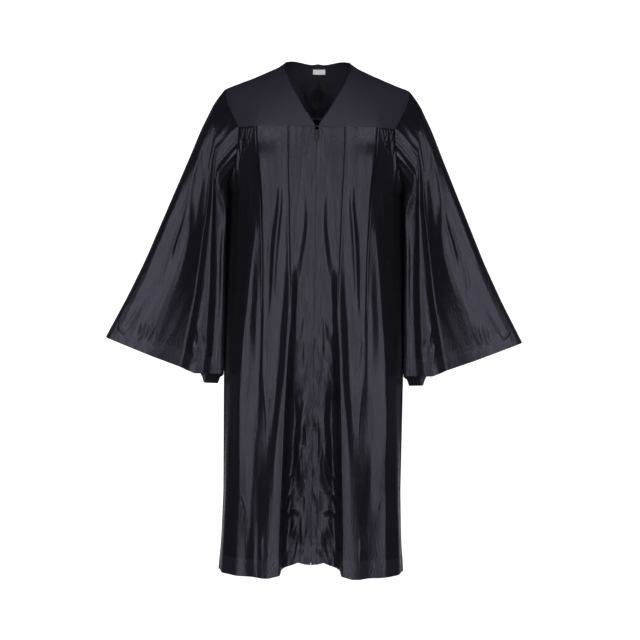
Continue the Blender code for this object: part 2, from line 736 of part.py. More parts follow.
def zip_slider():
    middle, tape_front, face, axis = slider_places()
    low = SLIDER_TOP - SLIDER_LENGTH
    behind = tape_front + TAPE + SLIDER_SLACK
    wide = SLIDER_HALF_WIDTH
    slider = add_box("zip_slider", (-wide, face, low), (wide, face + SLIDER_PLATE, SLIDER_TOP))
    back = add_box("slider_back", (-wide, behind, low), (wide, behind + SLIDER_PLATE, SLIDER_TOP))
    post = add_box("slider_post",
                   (-POST_HALF_WIDTH, face + SLIDER_PLATE / 2, SLIDER_TOP - POST_LENGTH),
                   (POST_HALF_WIDTH, behind + SLIDER_PLATE / 2, SLIDER_TOP - 0.0002))
    bar_in = axis - PULL_ROOM
    feet = []
    for end in (-1, 1):
        reach = sorted((middle + end * BRIDGE_HALF_LENGTH,
                        middle + end * (BRIDGE_HALF_LENGTH - BRIDGE_FOOT)))
        feet.append(add_box(f"bridge_foot_{end}",
                            (-BRIDGE_HALF_WIDTH, bar_in - BRIDGE_BAR / 2, reach[0]),
                            (BRIDGE_HALF_WIDTH, face + SLIDER_PLATE / 2, reach[1])))
    bar = add_box("bridge_bar",
                  (-BRIDGE_BAR_HALF_WIDTH, bar_in - BRIDGE_BAR, middle - BRIDGE_BAR_HALF_LENGTH),
                  (BRIDGE_BAR_HALF_WIDTH, bar_in, middle + BRIDGE_BAR_HALF_LENGTH))
    for plate in (slider, back):
        bevel(plate, SLIDER_PLATE / 4)
    combine(slider, [back, post, *feet, bar], "UNION")


def zip_pull():
    middle, _, _, axis = slider_places()
    mesh = bmesh.new()
    outline = []
    top, low = PULL_THICK / 2, -PULL_LENGTH
    for end, width, height in ((1, PULL_TOP_WIDTH / 2, top), (-1, PULL_LOW_WIDTH / 2, low)):
        corner = 0.0009 if end > 0 else 0.0026
        for side in (end, -end):
            for step in range(4):
                turn = math.radians(30 * step)
                along = math.cos(turn) if side == end else math.sin(turn)
                up = math.sin(turn) if side == end else math.cos(turn)
                outline.append((side * (width - corner + corner * along),
                                height - end * corner + end * corner * up))
    for x, z in outline:
        mesh.verts.new((x, axis - PULL_THICK / 2, middle + z))
    mesh.verts.ensure_lookup_table()
    face = mesh.faces.new(mesh.verts)
    made = bmesh.ops.extrude_face_region(mesh, geom=[face])
    verts = [item for item in made["geom"] if isinstance(item, bmesh.types.BMVert)]
    bmesh.ops.translate(mesh, vec=(0, PULL_THICK, 0), verts=verts)
    bmesh.ops.recalc_face_normals(mesh, faces=mesh.faces)
    pull = finish_object("zip_pull", mesh, "zip_metal")
    eye = add_box("pull_eye",
                  (-PULL_EYE_HALF_WIDTH, axis - 0.003, middle - PULL_THICK / 2 - PULL_EYE_LENGTH),
                  (PULL_EYE_HALF_WIDTH, axis + 0.003, middle - PULL_THICK / 2))
    combine(pull, [eye], "DIFFERENCE")
    bevel(pull, 0.00025)


def zip_stop():
    line = zip_line(ZIP_BOTTOM - 0.004)
    depth = line + CLOTH + SEAM_GAP
    stop = add_box("zip_bottom_stop", (-0.0030, depth, ZIP_BOTTOM - 0.0065),
                   (0.0030, depth + 0.0022, ZIP_BOTTOM - SEAM_GAP))
    bevel(stop, 0.0003)


def label():
    x, height = np.meshgrid(np.linspace(-LABEL_HALF_WIDTH, LABEL_HALF_WIDTH, 5),
                            np.linspace(LABEL_TOP, LABEL_BOTTOM, 3))
    lift = (height - BACK_SEAM) / (shoulder_height(x) - BACK_SEAM)
    points = yoke_point(x, np.arccos(np.clip(lift, -1, 1)), 1)
    directions = wall_directions(points, False, BODY_CENTRE)
    outer = points - directions * (CLOTH + LABEL_GAP)
    make_wall("label", outer, outer - directions * TAPE, "label")


def main():
    clear_scene()
    front_yokes()
    back_yoke()
    front_panels()
    back_panel()
    sleeves()
    zip_tapes()
    zip_slider()
    zip_pull()
    zip_stop()
    label()


main()
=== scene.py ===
import math

import bpy
import numpy as np
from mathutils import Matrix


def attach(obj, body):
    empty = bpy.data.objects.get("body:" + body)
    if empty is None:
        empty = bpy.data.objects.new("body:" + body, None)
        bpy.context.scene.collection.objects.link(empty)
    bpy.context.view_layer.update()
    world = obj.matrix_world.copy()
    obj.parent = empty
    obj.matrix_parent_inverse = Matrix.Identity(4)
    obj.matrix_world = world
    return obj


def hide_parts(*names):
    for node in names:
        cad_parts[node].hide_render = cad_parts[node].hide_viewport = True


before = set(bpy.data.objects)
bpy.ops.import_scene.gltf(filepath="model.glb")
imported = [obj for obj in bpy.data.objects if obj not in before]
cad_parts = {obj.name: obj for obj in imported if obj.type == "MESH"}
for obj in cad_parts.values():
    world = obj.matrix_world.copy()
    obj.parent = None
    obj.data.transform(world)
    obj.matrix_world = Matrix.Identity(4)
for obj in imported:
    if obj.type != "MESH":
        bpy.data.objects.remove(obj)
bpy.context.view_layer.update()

# Graduation gown, as if worn by nobody. Metres, +Z up, the gown faces -Y.
# The heights and widths below are the ones of the solids, so each sheet lies on its own solid.

gown = {
    "cloth": 0.0008,        # thickness of the cloth as drawn
    "frontSeam": -0.150,    # yoke to panels, in front
    "backSeam": -0.110,
    "underarm": -0.295,
    "hem": -1.190,
    "zipTop": -0.1570,
    "zipBottom": -1.150,
    "shoulderTip": 0.2178,
    "yokeCorner": 0.1820,
    "neckSide": 0.0710,
    "zipStrip": 0.0140,
    "neckArch": 38,
    "hemBand": 0.0395,      # how high the hem is turned up
    "behindSeam": 0.0013,   # how far behind a seam its allowance lies
    "chestFade": 0.075,     # the chest's rise fades out over this much of the yoke
}

# height, half width, depth in front, depth behind
rings = np.array((
    (-1.250, 0.2210, 0.152, 0.152), (-1.190, 0.2185, 0.150, 0.150), (-1.120, 0.2130, 0.147, 0.147),
    (-1.000, 0.2095, 0.143, 0.143), (-0.800, 0.2115, 0.137, 0.135), (-0.500, 0.2145, 0.129, 0.127),
    (-0.370, 0.2135, 0.124, 0.124), (-0.295, 0.2120, 0.121, 0.122), (-0.200, 0.2190, 0.118, 0.118),
    (-0.100, 0.2260, 0.118, 0.114), (0.000, 0.2320, 0.118, 0.112)))
shoulderLine = np.array((
    (0.0000, 0.0550), (0.0300, 0.0400), (0.0615, 0.0200), (0.0970, -0.0030), (0.1314, -0.0185),
    (0.1645, -0.0325), (0.2047, -0.0475), (0.2178, -0.0533), (0.2500, -0.0690)))
neckLine = np.array(((0.00, 0.0022), (0.22, 0.0300), (0.55, 0.0600), (0.90, 0.0800), (1.00, 0.0710)))
armholeLine = np.array((
    (-0.295, 0.2120), (-0.280, 0.2065), (-0.250, 0.1965), (-0.210, 0.1865), (-0.175, 0.1830),
    (-0.150, 0.1820), (-0.110, 0.1820)))


def tableValue(keys, values, at, reach):
    at = np.asarray(at, dtype=float)
    steps = np.linspace(-reach, reach, 9)
    return sum(np.interp(at + step, keys, values) for step in steps) / len(steps)


def smooth(value):
    value = np.clip(value, 0.0, 1.0)
    return value * value * (3.0 - 2.0 * value)


def ringSize(height):
    return [tableValue(rings[:, 0], rings[:, place], height, 0.03) for place in (1, 2, 3)]


def shoulderHeight(x):
    return tableValue(shoulderLine[:, 0], shoulderLine[:, 1], np.abs(x), 0.008)


def armholeX(height):
    return tableValue(armholeLine[:, 0], armholeLine[:, 1], height, 0.004)


def yokeArmholeX(lift):
    return gown["yokeCorner"] + (gown["shoulderTip"] - gown["yokeCorner"]) * np.sin(math.pi / 2 * lift)


def yokePoint(x, arch, side):
    seam = gown["frontSeam"] if side < 0 else gown["backSeam"]
    halfWidth, front, back = ringSize(seam)
    depth = (front if side < 0 else back) * np.sqrt(np.clip(1 - (x / halfWidth) ** 2, 0, 1))
    height = seam + (shoulderHeight(x) - seam) * np.cos(arch)
    return np.stack([x, side * depth * np.sin(arch), height + 0 * x], axis=-1)


def sideAngle(height):
    halfWidth, _, _ = ringSize(height)
    share = np.where(height < gown["underarm"] + 1e-6, 1.0, armholeX(height) / halfWidth)
    return np.arcsin(np.clip(share, 0.0, 1.0))


# Small relief shared by all the cloth

def crease(x, z, line, width, rise, fadeStart=0.35, fadeEnd=0.35):
    # a soft ridge (or trough) along a line of x, z places, thinner and lower towards its ends
    line = np.array(line, dtype=float)
    lengths = np.hypot(*np.diff(line, axis=0).T)
    total = lengths.sum()
    nearest = np.full(x.shape, 1e9)
    along = np.zeros(x.shape)
    done = 0.0
    for first, second, length in zip(line[:-1], line[1:], lengths):
        step = second - first
        part = np.clip(((x - first[0]) * step[0] + (z - first[1]) * step[1]) / length ** 2, 0, 1)
        away = np.hypot(x - first[0] - part * step[0], z - first[1] - part * step[1])
        closer = away < nearest
        nearest = np.where(closer, away, nearest)
        along = np.where(closer, (done + part * length) / total, along)
        done += length
    taper = np.ones(x.shape)
    if fadeStart:
        taper = taper * smooth(along / fadeStart)
    if fadeEnd:
        taper = taper * smooth((1 - along) / fadeEnd)
    return rise / 1000 * taper * np.exp(-(nearest / (width / 1000 * (0.5 + 0.5 * taper))) ** 2)


def ripple(x, z, seed, size, across, along, count=14):
    # gentle unevenness: a few waves of their own direction and phase, longer downwards than across
    chance = np.random.default_rng(seed)
    out = 0 * x
    for _ in range(count):
        wide = across * chance.uniform(0.6, 1.8)
        tall = along * chance.uniform(0.6, 1.8)
        turn, start = chance.uniform(-1, 1), chance.uniform(0, 2 * math.pi)
        out = out + np.sin(2 * math.pi * (x / wide + turn * z / tall) + start)
    return size * out / math.sqrt(count)


# Making the sheets

def clothPiece(name, points, uv, outward, closed=False, thickness=None):
    rows, columns = points.shape[:2]
    last = columns if closed else columns - 1
    faces, corners = [], []
    for row in range(rows - 1):
        for place in range(last):
            after = (place + 1) % columns
            faces.append((row * columns + place, row * columns + after,
                          (row + 1) * columns + after, (row + 1) * columns + place))
            corners += [(row, place), (row, place + 1), (row + 1, place + 1), (row + 1, place)]
    data = bpy.data.meshes.new(name)
    data.from_pydata(points.reshape(-1, 3).tolist(), [], faces)
    layer = data.uv_layers.new(name="cloth")
    flat = np.array([uv[corner] for corner in corners], dtype=np.float32)
    layer.data.foreach_set("uv", flat.reshape(-1))
    data.update()
    piece = bpy.data.objects.new(name, data)
    bpy.context.scene.collection.objects.link(piece)
    middle = (rows // 2) * last + columns // 3
    if np.dot(np.array(data.polygons[middle].normal), outward) < 0:
        data.flip_normals()
    thick = piece.modifiers.new("thickness", "SOLIDIFY")
    thick.thickness = thickness or gown["cloth"]
    thick.offset = -1
    finishPiece(piece)
    return piece


def finishPiece(piece):
    bpy.ops.object.select_all(action="DESELECT")
    bpy.context.view_layer.objects.active = piece
    piece.select_set(True)
    for modifier in list(piece.modifiers):
        bpy.ops.object.modifier_apply(modifier=modifier.name)
    piece.data.shade_smooth()
    piece.data.set_sharp_from_angle(angle=math.radians(60))
    piece.select_set(False)


def flatLengths(points, closed=False):
    # distance along each row from its first column, and up from the last row
    across = np.linalg.norm(np.diff(points, axis=1), axis=2)
    u = np.concatenate([np.zeros((points.shape[0], 1)), np.cumsum(across, axis=1)], axis=1)
    down = np.linalg.norm(np.diff(points, axis=0), axis=2)
    v = np.concatenate([np.zeros((1, points.shape[1])), np.cumsum(down, axis=0)], axis=0)
    v = v[-1:] - v
    if closed:
        around = np.linalg.norm(points[:, :1] - points[:, -1:], axis=2)
        u = np.concatenate([u, u[:, -1:] + around], axis=1)
        v = np.concatenate([v, v[:, :1]], axis=1)
    return np.stack([u, v], axis=-1)


def mirrored(points):
    return points * np.array([-1.0, 1.0, 1.0])


# Front panels. Each row gives, from the zip outwards, how far from the zip each fold line runs
# and how far behind the foremost cloth it lies, both in millimetres. The lines are: zip edge, edge
# of the zip strip, two in the recess, foot of the fold, its two edges, end of its outer side, start
# and bottom of the wedge, crest of the teardrop, edge of the lit panel, its foot, second crest,
# side crest and its end, and the fall towards the side seam.

frontFolds = {
    "rows": {
        -0.150: ((0.4, 0), (14, 0), (24, -1), (34, -1.5), (58, -4), (63, -4.5), (68, -5.5), (74, -6.5), (84, -9),
                 (92, -11), (98, -12.5), (138, -25.5), (142, -27), (148, -30), (154, -33), (162, -37), (173, -43.5)),
        -0.180: ((0.4, -1), (14, -1), (24, -0.5), (34, -0.5), (58, -2), (63, -2.5), (68, -3.5), (73, -4.5), (84, -5.5),
                 (92, -6.5), (98, -7), (138, -14), (142, -23), (148, -29), (154, -34), (162, -40), (174, -48)),
        -0.230: ((0.4, -2), (14, -2), (24, -0.5), (34, 0), (58, -0.8), (63, -1), (68, -2), (73, -4.5), (84, -5),
                 (92, -5), (98, -5), (134, -10), (138, -20), (145, -28), (153, -35), (162, -42), (175, -51)),
        -0.275: ((0.4, -3), (14, -3), (22, -2.5), (34, 0), (57, -0.5), (62, -1), (66, -2.5), (74, -5.5), (80, -5.8),
                 (85, -6.4), (91, -5), (129, -8.5), (133, -19), (141, -28), (150, -36), (161, -45), (177, -57)),
        -0.321: ((0.4, -5), (14, -5.5), (18, -5.5), (27, -1), (54, 0), (59, -1), (64, -4), (70, -6), (77, -7),
                 (81.5, -11.5), (89, -4), (125, -6.5), (128, -15), (135, -20), (142, -27), (152, -37), (185, -71)),
        -0.390: ((0.4, -8), (14, -8), (18, -9), (27, -2), (54, 0), (58, -1), (68, -6.5), (73, -7.5), (82, -8.5),
                 (88.5, -15), (99, -4), (122, -6.5), (126, -13), (129, -13.5), (132, -14.5), (140, -17), (184, -72)),
        -0.459: ((0.4, -10), (14, -10), (26, -11), (38, -3), (52, 0), (56, -1), (63, -6), (70, -8), (86, -10),
                 (93.5, -15), (103, -5), (118, -7), (124, -14), (131, -17), (140, -20.5), (148, -22.5), (188, -76)),
        -0.528: ((0.4, -13), (14, -13), (34, -15.5), (39, -17), (49, -4), (53, 0), (57, -1), (70, -11), (90, -13),
                 (97, -17), (104.5, -8), (118, -9.8), (123, -16.5), (131, -18.5), (145, -26.5), (154, -28.5),
                 (190, -78)),
        -0.597: ((0.4, -16), (14, -16), (28, -17), (40, -18), (50, -4), (54, 0), (60, -1), (77, -13), (98, -15),
                 (102, -15.5), (108, -12.5), (117, -14), (122, -19), (133, -20.5), (148, -29), (160, -31), (192, -78)),
        -0.665: ((0.4, -21), (13, -21), (32, -23), (42, -24), (53, -8), (57, 0), (64, -0.8), (80, -13), (90, -14),
                 (101, -15.5), (108, -16), (118, -17.5), (124, -22), (135, -24), (150, -30), (167, -33.5), (194, -76)),
        -0.734: ((0.4, -28), (13, -28), (28, -29), (48, -34), (55, -14), (60, 0), (68, -0.8), (82, -13), (92, -14.5),
                 (101, -16), (109, -17), (118, -18.5), (124, -23), (137, -25), (152, -30), (171, -34), (195, -74)),
        -0.803: ((0.4, -35), (12, -35), (22, -36), (42, -50), (57, -36), (62, 0), (74, -1.2), (89, -12), (97, -13.3),
                 (103, -14), (110, -15), (115, -17), (127, -24), (133, -25.3), (145, -27.5), (172, -33.5), (196, -74)),
        -0.872: ((0.4, -42), (14, -42), (27, -35), (42, -50), (58, -38), (64, 0), (82, -1.4), (92, -9), (98, -12),
                 (106, -15), (112, -17.5), (120, -21.5), (130, -26.5), (138, -28), (150, -30), (172, -35), (197, -73)),
        -0.940: ((0.4, -46), (13, -46), (28, -41), (46, -56), (60, -44), (66, 0), (86, -1.6), (96, -7), (104, -11.5),
                 (112, -16), (120, -20.5), (128, -25), (136, -28.5), (146, -31), (157, -33.5), (170, -37), (198, -73)),
        -1.009: ((0.4, -50), (14, -50), (30, -54), (48, -60), (62, -46), (68, 0), (88, -1.8), (96, -5.5), (104, -10),
                 (112, -15.5), (121, -22), (130, -28), (139, -32), (148, -34.5), (158, -37.5), (172, -42), (200, -74)),
        -1.078: ((0.4, -54), (14, -54), (32, -60), (54, -64), (64, -50), (70, 0), (89, -2.2), (98, -5.5), (106, -9.5),
                 (114, -14), (122, -19), (130, -24), (140, -29.5), (149, -33), (160, -36.8), (173, -41.5), (203, -74)),
        -1.135: ((0.4, -57), (14, -57), (32, -62), (54, -65), (64, -52), (70, 0), (91, -2.6), (100, -5.5), (107, -8.8),
                 (115, -12.8), (123, -17.3), (131, -22), (141, -27.5), (150, -31), (161, -35), (175, -40), (206, -74)),
        -1.250: ((0.4, -60), (14, -60), (32, -64), (54, -67), (64, -54), (70, 0), (92, -2.8), (100, -5), (107, -8),
                 (115, -12), (123, -16.5), (131, -21), (141, -26), (150, -29.5), (161, -33.5), (175, -39), (207, -73)),
    },
    "columns": (7, 8, 8, 8, 15, 7, 9, 8, 8, 8, 10, 8, 7, 9, 10, 12, 12),
    "rowCount": 220,
    "crumple": 0.00034,
    "stripTilt": 0.0021,    # the zip edge lies deeper than the strip's outer edge
    "corner": 0.0034,       # how far the corner of a fold is rounded off, each way
    "stripCorner": 0.0012,
    "seamFade": 0.080,      # the folds open out over this much below the yoke
}

# line of (x, z), width and rise in millimetres; x is from the zip
frontCreases = (
    (((0.074, -0.250), (0.090, -0.300), (0.101, -0.370), (0.107, -0.450), (0.109, -0.560)), 3.4, 1.1),
    (((0.100, -0.600), (0.108, -0.650), (0.104, -0.700), (0.094, -0.735)), 3.4, 1.5),
    (((0.116, -0.720), (0.110, -0.780), (0.106, -0.830), (0.106, -0.880)), 3.2, 1.8),
    (((0.092, -0.750), (0.098, -0.790), (0.103, -0.850)), 3.5, 1.2),
    (((0.062, -0.205), (0.060, -0.300), (0.056, -0.420), (0.054, -0.520)), 1.8, 0.8),
    (((0.035, -0.250), (0.040, -0.300), (0.046, -0.360), (0.044, -0.420)), 6.0, 1.5),
    (((0.024, -0.500), (0.034, -0.560), (0.040, -0.650), (0.045, -0.750)), 6.5, 3.0),
    (((0.020, -0.560), (0.026, -0.640), (0.027, -0.720)), 3.5, -2.0),
    (((0.012, -0.600), (0.014, -0.700), (0.013, -0.800)), 2.6, 1.0),
    (((0.036, -0.860), (0.026, -0.930), (0.022, -1.000)), 4.0, 2.0),
    (((0.056, -0.985), (0.046, -0.960), (0.034, -0.930), (0.026, -0.900)), 3.5, 3.0),
    (((0.060, -1.035), (0.050, -1.015), (0.040, -0.985)), 3.5, 2.6),
    (((0.058, -1.075), (0.047, -1.050), (0.038, -1.052), (0.028, -1.078)), 4.5, 3.6),
    (((0.056, -1.175), (0.050, -1.125), (0.038, -1.092), (0.032, -1.070)), 5.0, 3.6),
    (((0.044, -1.185), (0.037, -1.145), (0.034, -1.105)), 4.5, -3.0),
    (((0.024, -1.185), (0.020, -1.130), (0.024, -1.085)), 4.0, 2.5),
    (((0.014, -1.180), (0.010, -1.140), (0.013, -1.095)), 3.0, -1.6),
    (((0.113, -1.090), (0.114, -1.120), (0.112, -1.150)), 3.0, 1.5),
    (((0.165, -1.000), (0.155, -1.020), (0.150, -1.040)), 2.5, 0.8),
    (((0.205, -0.850), (0.203, -0.930), (0.205, -1.010)), 4.0, 1.6),
    (((0.150, -0.290), (0.158, -0.330), (0.161, -0.380)), 5.0, 2.0),
    (((0.168, -0.420), (0.178, -0.480), (0.182, -0.560)), 6.0, 1.2),
    (((0.120, -0.180), (0.117, -0.240), (0.113, -0.300)), 6.0, 0.5),
)

# short gathers under the outer corner of the yoke, and pulls along the armhole seam
cornerGathers = (
    (((0.1500, -0.150), (0.1545, -0.168), (0.1560, -0.188)), 2.2, 3.0),
    (((0.1570, -0.150), (0.1600, -0.164), (0.1610, -0.178)), 2.2, 3.6),
    (((0.1640, -0.150), (0.1650, -0.172), (0.1590, -0.200)), 2.4, 3.9),
    (((0.1700, -0.150), (0.1740, -0.165), (0.1760, -0.184)), 2.2, 3.3),
    (((0.1765, -0.150), (0.1790, -0.180), (0.1770, -0.216)), 2.4, 3.0),
    (((0.1590, -0.182), (0.1680, -0.200), (0.1760, -0.214)), 3.0, 2.1),
    (((0.1850, -0.200), (0.1860, -0.240), (0.1800, -0.300)), 3.0, 2.4),
    (((0.1950, -0.240), (0.1960, -0.290), (0.1880, -0.350)), 3.5, 2.7),
)

# how much higher than the lowest point the hem ends, at distances from the zip, in millimetres
hemLine = np.array((
    (0, 25.8), (14, 26.5), (30, 30.0), (45, 23.5), (60, 19.0), (67, 17.0), (70, 7.5), (80, 5.0), (95, 0.5),
    (112, -0.5), (134, 1.6), (160, 1.0), (181, 2.0), (200, 3.0), (215, 4.7), (240, 5.0)))


def hemLift(x, height):
    nearHem = smooth((height + 0.80) / (gown["hem"] + 0.80))
    return nearHem * np.interp(x * 1000, hemLine[:, 0], hemLine[:, 1]) / 1000


def centreEdge(height):
    return 0.0004 + 0.0045 * smooth((height + 0.1750) / 0.0040) * smooth((-0.1510 - height) / 0.0025)


def frontHeights():
    top = np.linspace(gown["frontSeam"], -0.40, 72)
    low = np.linspace(-0.40, gown["hem"], frontFolds["rowCount"] - 70)
    return np.concatenate([top, low[1:]])


def frontPanel(name, mirror, seed):
    heights = frontHeights()
    keys = np.array(sorted(frontFolds["rows"]))
    table = np.array([frontFolds["rows"][key] for key in keys]) / 1000
    halfWidth, frontDepth, _ = ringSize(heights)
    end = halfWidth * np.sin(sideAngle(heights))
    places = np.stack([tableValue(keys, table[:, i, 0], heights, 0.028) for i in range(table.shape[1])], axis=1)
    depths = np.stack([tableValue(keys, table[:, i, 1], heights, 0.028) for i in range(table.shape[1])], axis=1)
    wander = ripple(heights[:, None] * 0 + np.arange(places.shape[1])[None, :] * 0.03, heights[:, None] + 0 * places,
                    seed, 0.0005, 0.11, 0.32, 6)
    wander[:, 0] = 0
    places = places + wander * smooth((gown["frontSeam"] - heights) / 0.1)[:, None]
    depths[:, 0] = depths[:, 0] - frontFolds["stripTilt"] * smooth((heights + 0.50) / 0.12)
    places[:, 0] = centreEdge(heights)
    places[:, 1] = np.maximum(places[:, 1], places[:, 0] + 0.003)
    places = np.minimum(places, (end - 0.004)[:, None])
    angles = np.arcsin(np.clip(places / halfWidth[:, None], 0, 1))
    angles = np.concatenate([angles, sideAngle(heights)[:, None]], axis=1)
    columns = []
    for place, count in enumerate(frontFolds["columns"]):
        share = np.arange(count) / count
        columns.append(angles[:, place:place + 1] + (angles[:, place + 1] - angles[:, place])[:, None] * share)
    angle = np.concatenate(columns + [angles[:, -1:]], axis=1)
    height = np.repeat(heights[:, None], angle.shape[1], axis=1)
    x = halfWidth[:, None] * np.sin(angle)
    depth = np.zeros(x.shape)
    steps = np.linspace(-1, 1, 9)
    corner = frontFolds["stripCorner"]
    corner = corner + (frontFolds["corner"] - corner) * smooth((x - 0.010) / 0.02)
    for row in range(len(heights)):
        lineX = np.append(places[row], end[row])
        base = -frontDepth[row] * (1 - np.cos(sideAngle(heights[row])))
        lineD = np.append(depths[row], base)
        for step in steps:
            depth[row] += np.interp(x[row] + step * corner[row], lineX, lineD) / len(steps)
    ringY = frontDepth[:, None] * np.cos(angle)
    relief = frontDepth[:, None] + depth - ringY
    inside = np.where(height > gown["underarm"] + 1e-6, (sideAngle(height) - angle) * halfWidth[:, None] / 0.022,
                      (math.pi / 2 - angle) * halfWidth[:, None] / 0.030)
    opened = smooth((gown["frontSeam"] - height) / frontFolds["seamFade"])
    relief = relief * smooth(inside) * opened + chestRise(x) * (1 - opened)
    for line in frontCreases:
        relief = relief + crease(x, height, *line)
    for line in cornerGathers:
        relief = relief + crease(x, height, *line, fadeStart=0.02)
    relief = relief + ripple(x, height, seed, 0.00020, 0.026, 0.24) * smooth(inside)
    worn = smooth((-0.50 - height) / 0.15) * smooth((x - 0.115) / 0.02) * smooth(inside)
    relief = relief + ripple(x, height, seed + 20, 0.0006, 0.050, 0.170, 12) * worn
    worn = smooth((-0.19 - height) / 0.08) * np.exp(-(x / 0.019) ** 4)
    relief = relief + ripple(x, height, seed + 40, frontFolds["crumple"], 0.011, 0.060, 18) * worn
    worn = smooth((-0.46 - height) / 0.12) * np.exp(-(x / 0.050) ** 6)
    relief = relief + ripple(x, height, seed + 60, frontFolds["crumple"] * 2.5, 0.026, 0.085, 18) * worn
    # two pressed edges of the pleats, and the stitched ditch beside the zip
    flat = smooth((height + 0.62) / 0.12)
    for place, drop in ((5, 0.0016), (11, 0.0022)):
        off = x - places[:, place:place + 1]
        relief = relief - drop * flat * np.exp(-((off - 0.0026) / 0.0014) ** 2)
        relief = relief + 0.4 * drop * flat * np.exp(-((off + 0.0004) / 0.0014) ** 2)
    relief = relief - 0.0011 * np.exp(-((x - gown["zipStrip"] + 0.0012) / 0.0011) ** 2)
    relief = relief - 0.0001 * np.exp(-((gown["frontSeam"] - height) / 0.0012) ** 2)
    relief = relief + 0.0006 * smooth((gown["hem"] + gown["hemBand"] - height) / 0.002)
    points = np.stack([x, -(ringY + relief), height], axis=-1)
    points[..., 2] += hemLift(x, height)
    # seam allowances, behind the yoke and inside the side seam
    behind = points[:1] + (0, gown["behindSeam"], 0.0002)
    above = behind.copy()
    above[..., 2] += 0.0005 + 0.0038 * smooth((above[..., 0] - 0.008) / 0.010)
    points = np.concatenate([above, behind, points])
    points = np.concatenate([points, points[:, -1:] + (-0.0028, 0.0004, 0), points[:, -1:] + (-0.0028, 0.0060, 0)],
                            axis=1)
    uv = flatLengths(points)
    if mirror:
        points = mirrored(points)
    return clothPiece(name, points, uv, (0, -1, 0)), points, uv


# Back panel: gathers at the yoke that run together into fewer, deeper folds

backFolds = {
    # place at the yoke and at the hem as shares of the half ring, width, rise at yoke and hem (mm), where it is full
    "folds": (
        (-0.93, -0.95, 0.060, 1.5, 9, 0.9), (-0.80, -0.82, 0.050, 3.0, -12, 1.0), (-0.66, -0.68, 0.062, -2.0, 15, 1.0),
        (-0.52, -0.55, 0.045, 3.5, -13, 1.0), (-0.40, -0.42, 0.060, 2.0, 18, 1.0),
        (-0.28, -0.29, 0.042, -3.0, -16, 1.0),
        (-0.17, -0.15, 0.058, 3.0, 20, 1.0), (-0.06, -0.02, 0.045, -2.0, -15, 1.0), (0.05, 0.10, 0.056, 3.5, 17, 1.0),
        (0.16, 0.22, 0.046, -2.5, -17, 1.0), (0.29, 0.34, 0.060, 3.0, 19, 1.0), (0.41, 0.46, 0.044, -3.0, -13, 1.0),
        (0.53, 0.58, 0.058, 2.5, 16, 1.0), (0.67, 0.70, 0.048, -2.0, -12, 1.0), (0.81, 0.83, 0.055, 3.0, 12, 1.0),
        (0.93, 0.94, 0.050, 1.0, -6, 0.9)),
    "gathers": 34,
    "gatherRise": 0.0030,
    "columns": 230,
    "rowCount": 165,
}


def backRelief(turn, height):
    down = np.clip((gown["backSeam"] - height) / (gown["backSeam"] - gown["hem"]), 0, 1)
    out = 0 * turn
    for first, last, width, riseTop, riseHem, full in backFolds["folds"]:
        place = first + (last - first) * smooth(down)
        rise = riseTop * smooth(down * 9) * (1 - smooth(down * 1.6)) + riseHem * smooth(down * 1.12) * full
        out = out + rise / 1000 * np.exp(-((turn - place) / (width * (0.75 + 0.35 * down))) ** 2)
    uneven = turn + 0.012 * np.sin(turn * 17 + 1) + 0.006 * np.sin(turn * 41)
    gathers = np.cos(math.pi * backFolds["gathers"] * uneven)
    length = 0.065 + 0.045 * np.sin(turn * 23 + 2) + 0.03 * np.sin(turn * 51)
    gathers = gathers * np.exp(-((gown["backSeam"] - height) / length) ** 2)
    wide = 0.5 + 0.5 * np.sign(0.80 - np.abs(turn))
    out = out + backFolds["gatherRise"] * gathers * smooth((gown["backSeam"] - height) / 0.006 + 0.15) * wide
    return out


def backPanel():
    top = np.linspace(gown["backSeam"], -0.30, 60)
    low = np.linspace(-0.30, gown["hem"], backFolds["rowCount"] - 59)
    heights = np.concatenate([top, low[1:]])
    share = np.linspace(-1, 1, backFolds["columns"] + 1)
    share = np.repeat(share[None, :], len(heights), axis=0)
    height = np.repeat(heights[:, None], share.shape[1], axis=1)
    halfWidth, _, back = ringSize(height)
    angle = share * sideAngle(height)
    relief = backRelief(angle / (math.pi / 2), height)
    relief = relief + ripple(angle * halfWidth, height, 31, 0.0003, 0.030, 0.25)
    relief = relief * smooth((1 - np.abs(share)) * halfWidth / 0.050)
    relief = relief - 0.0002 * np.exp(-((gown["backSeam"] - height) / 0.0014) ** 2)
    relief = relief + 0.0006 * smooth((gown["hem"] + gown["hemBand"] - height) / 0.002)
    points = np.stack([(halfWidth + relief) * np.sin(angle), (back + relief) * np.cos(angle), height], axis=-1)
    behind = points[:1] + (0, -gown["behindSeam"], 0)
    points = np.concatenate([behind + (0, 0, 0.0045), behind + (0, 0, 0.0002), points])
    uv = flatLengths(points)
    return clothPiece("backPanel", points, uv, (0, 1, 0)), points, uv


# Yokes

yoke = {
    "rows": 46, "columns": 60, "edge": 0.0009,
    # drop-shaped crease below the label and pulls beside it
    "innerCreases": (
        (((0.0000, -0.012), (-0.0060, -0.040), (-0.0080, -0.062), (0.0000, -0.074)), 3.2, -5.4),
        (((0.0060, -0.016), (0.0110, -0.044), (0.0090, -0.066), (0.0020, -0.074)), 3.2, -5.4),
        (((-0.0200, -0.030), (-0.0240, -0.055), (-0.0180, -0.085)), 4.0, -4.5),
        (((0.0260, -0.034), (0.0270, -0.060), (0.0210, -0.090)), 4.0, -4.5),
        (((-0.0320, -0.020), (-0.0360, -0.050), (-0.0300, -0.080)), 4.0, 3.8),
        (((0.0120, -0.074), (0.0080, -0.090), (0.0100, -0.104)), 3.0, -4.2),
        (((-0.0080, -0.080), (-0.0060, -0.092), (-0.0090, -0.104)), 3.0, -4.2),
    ),
}


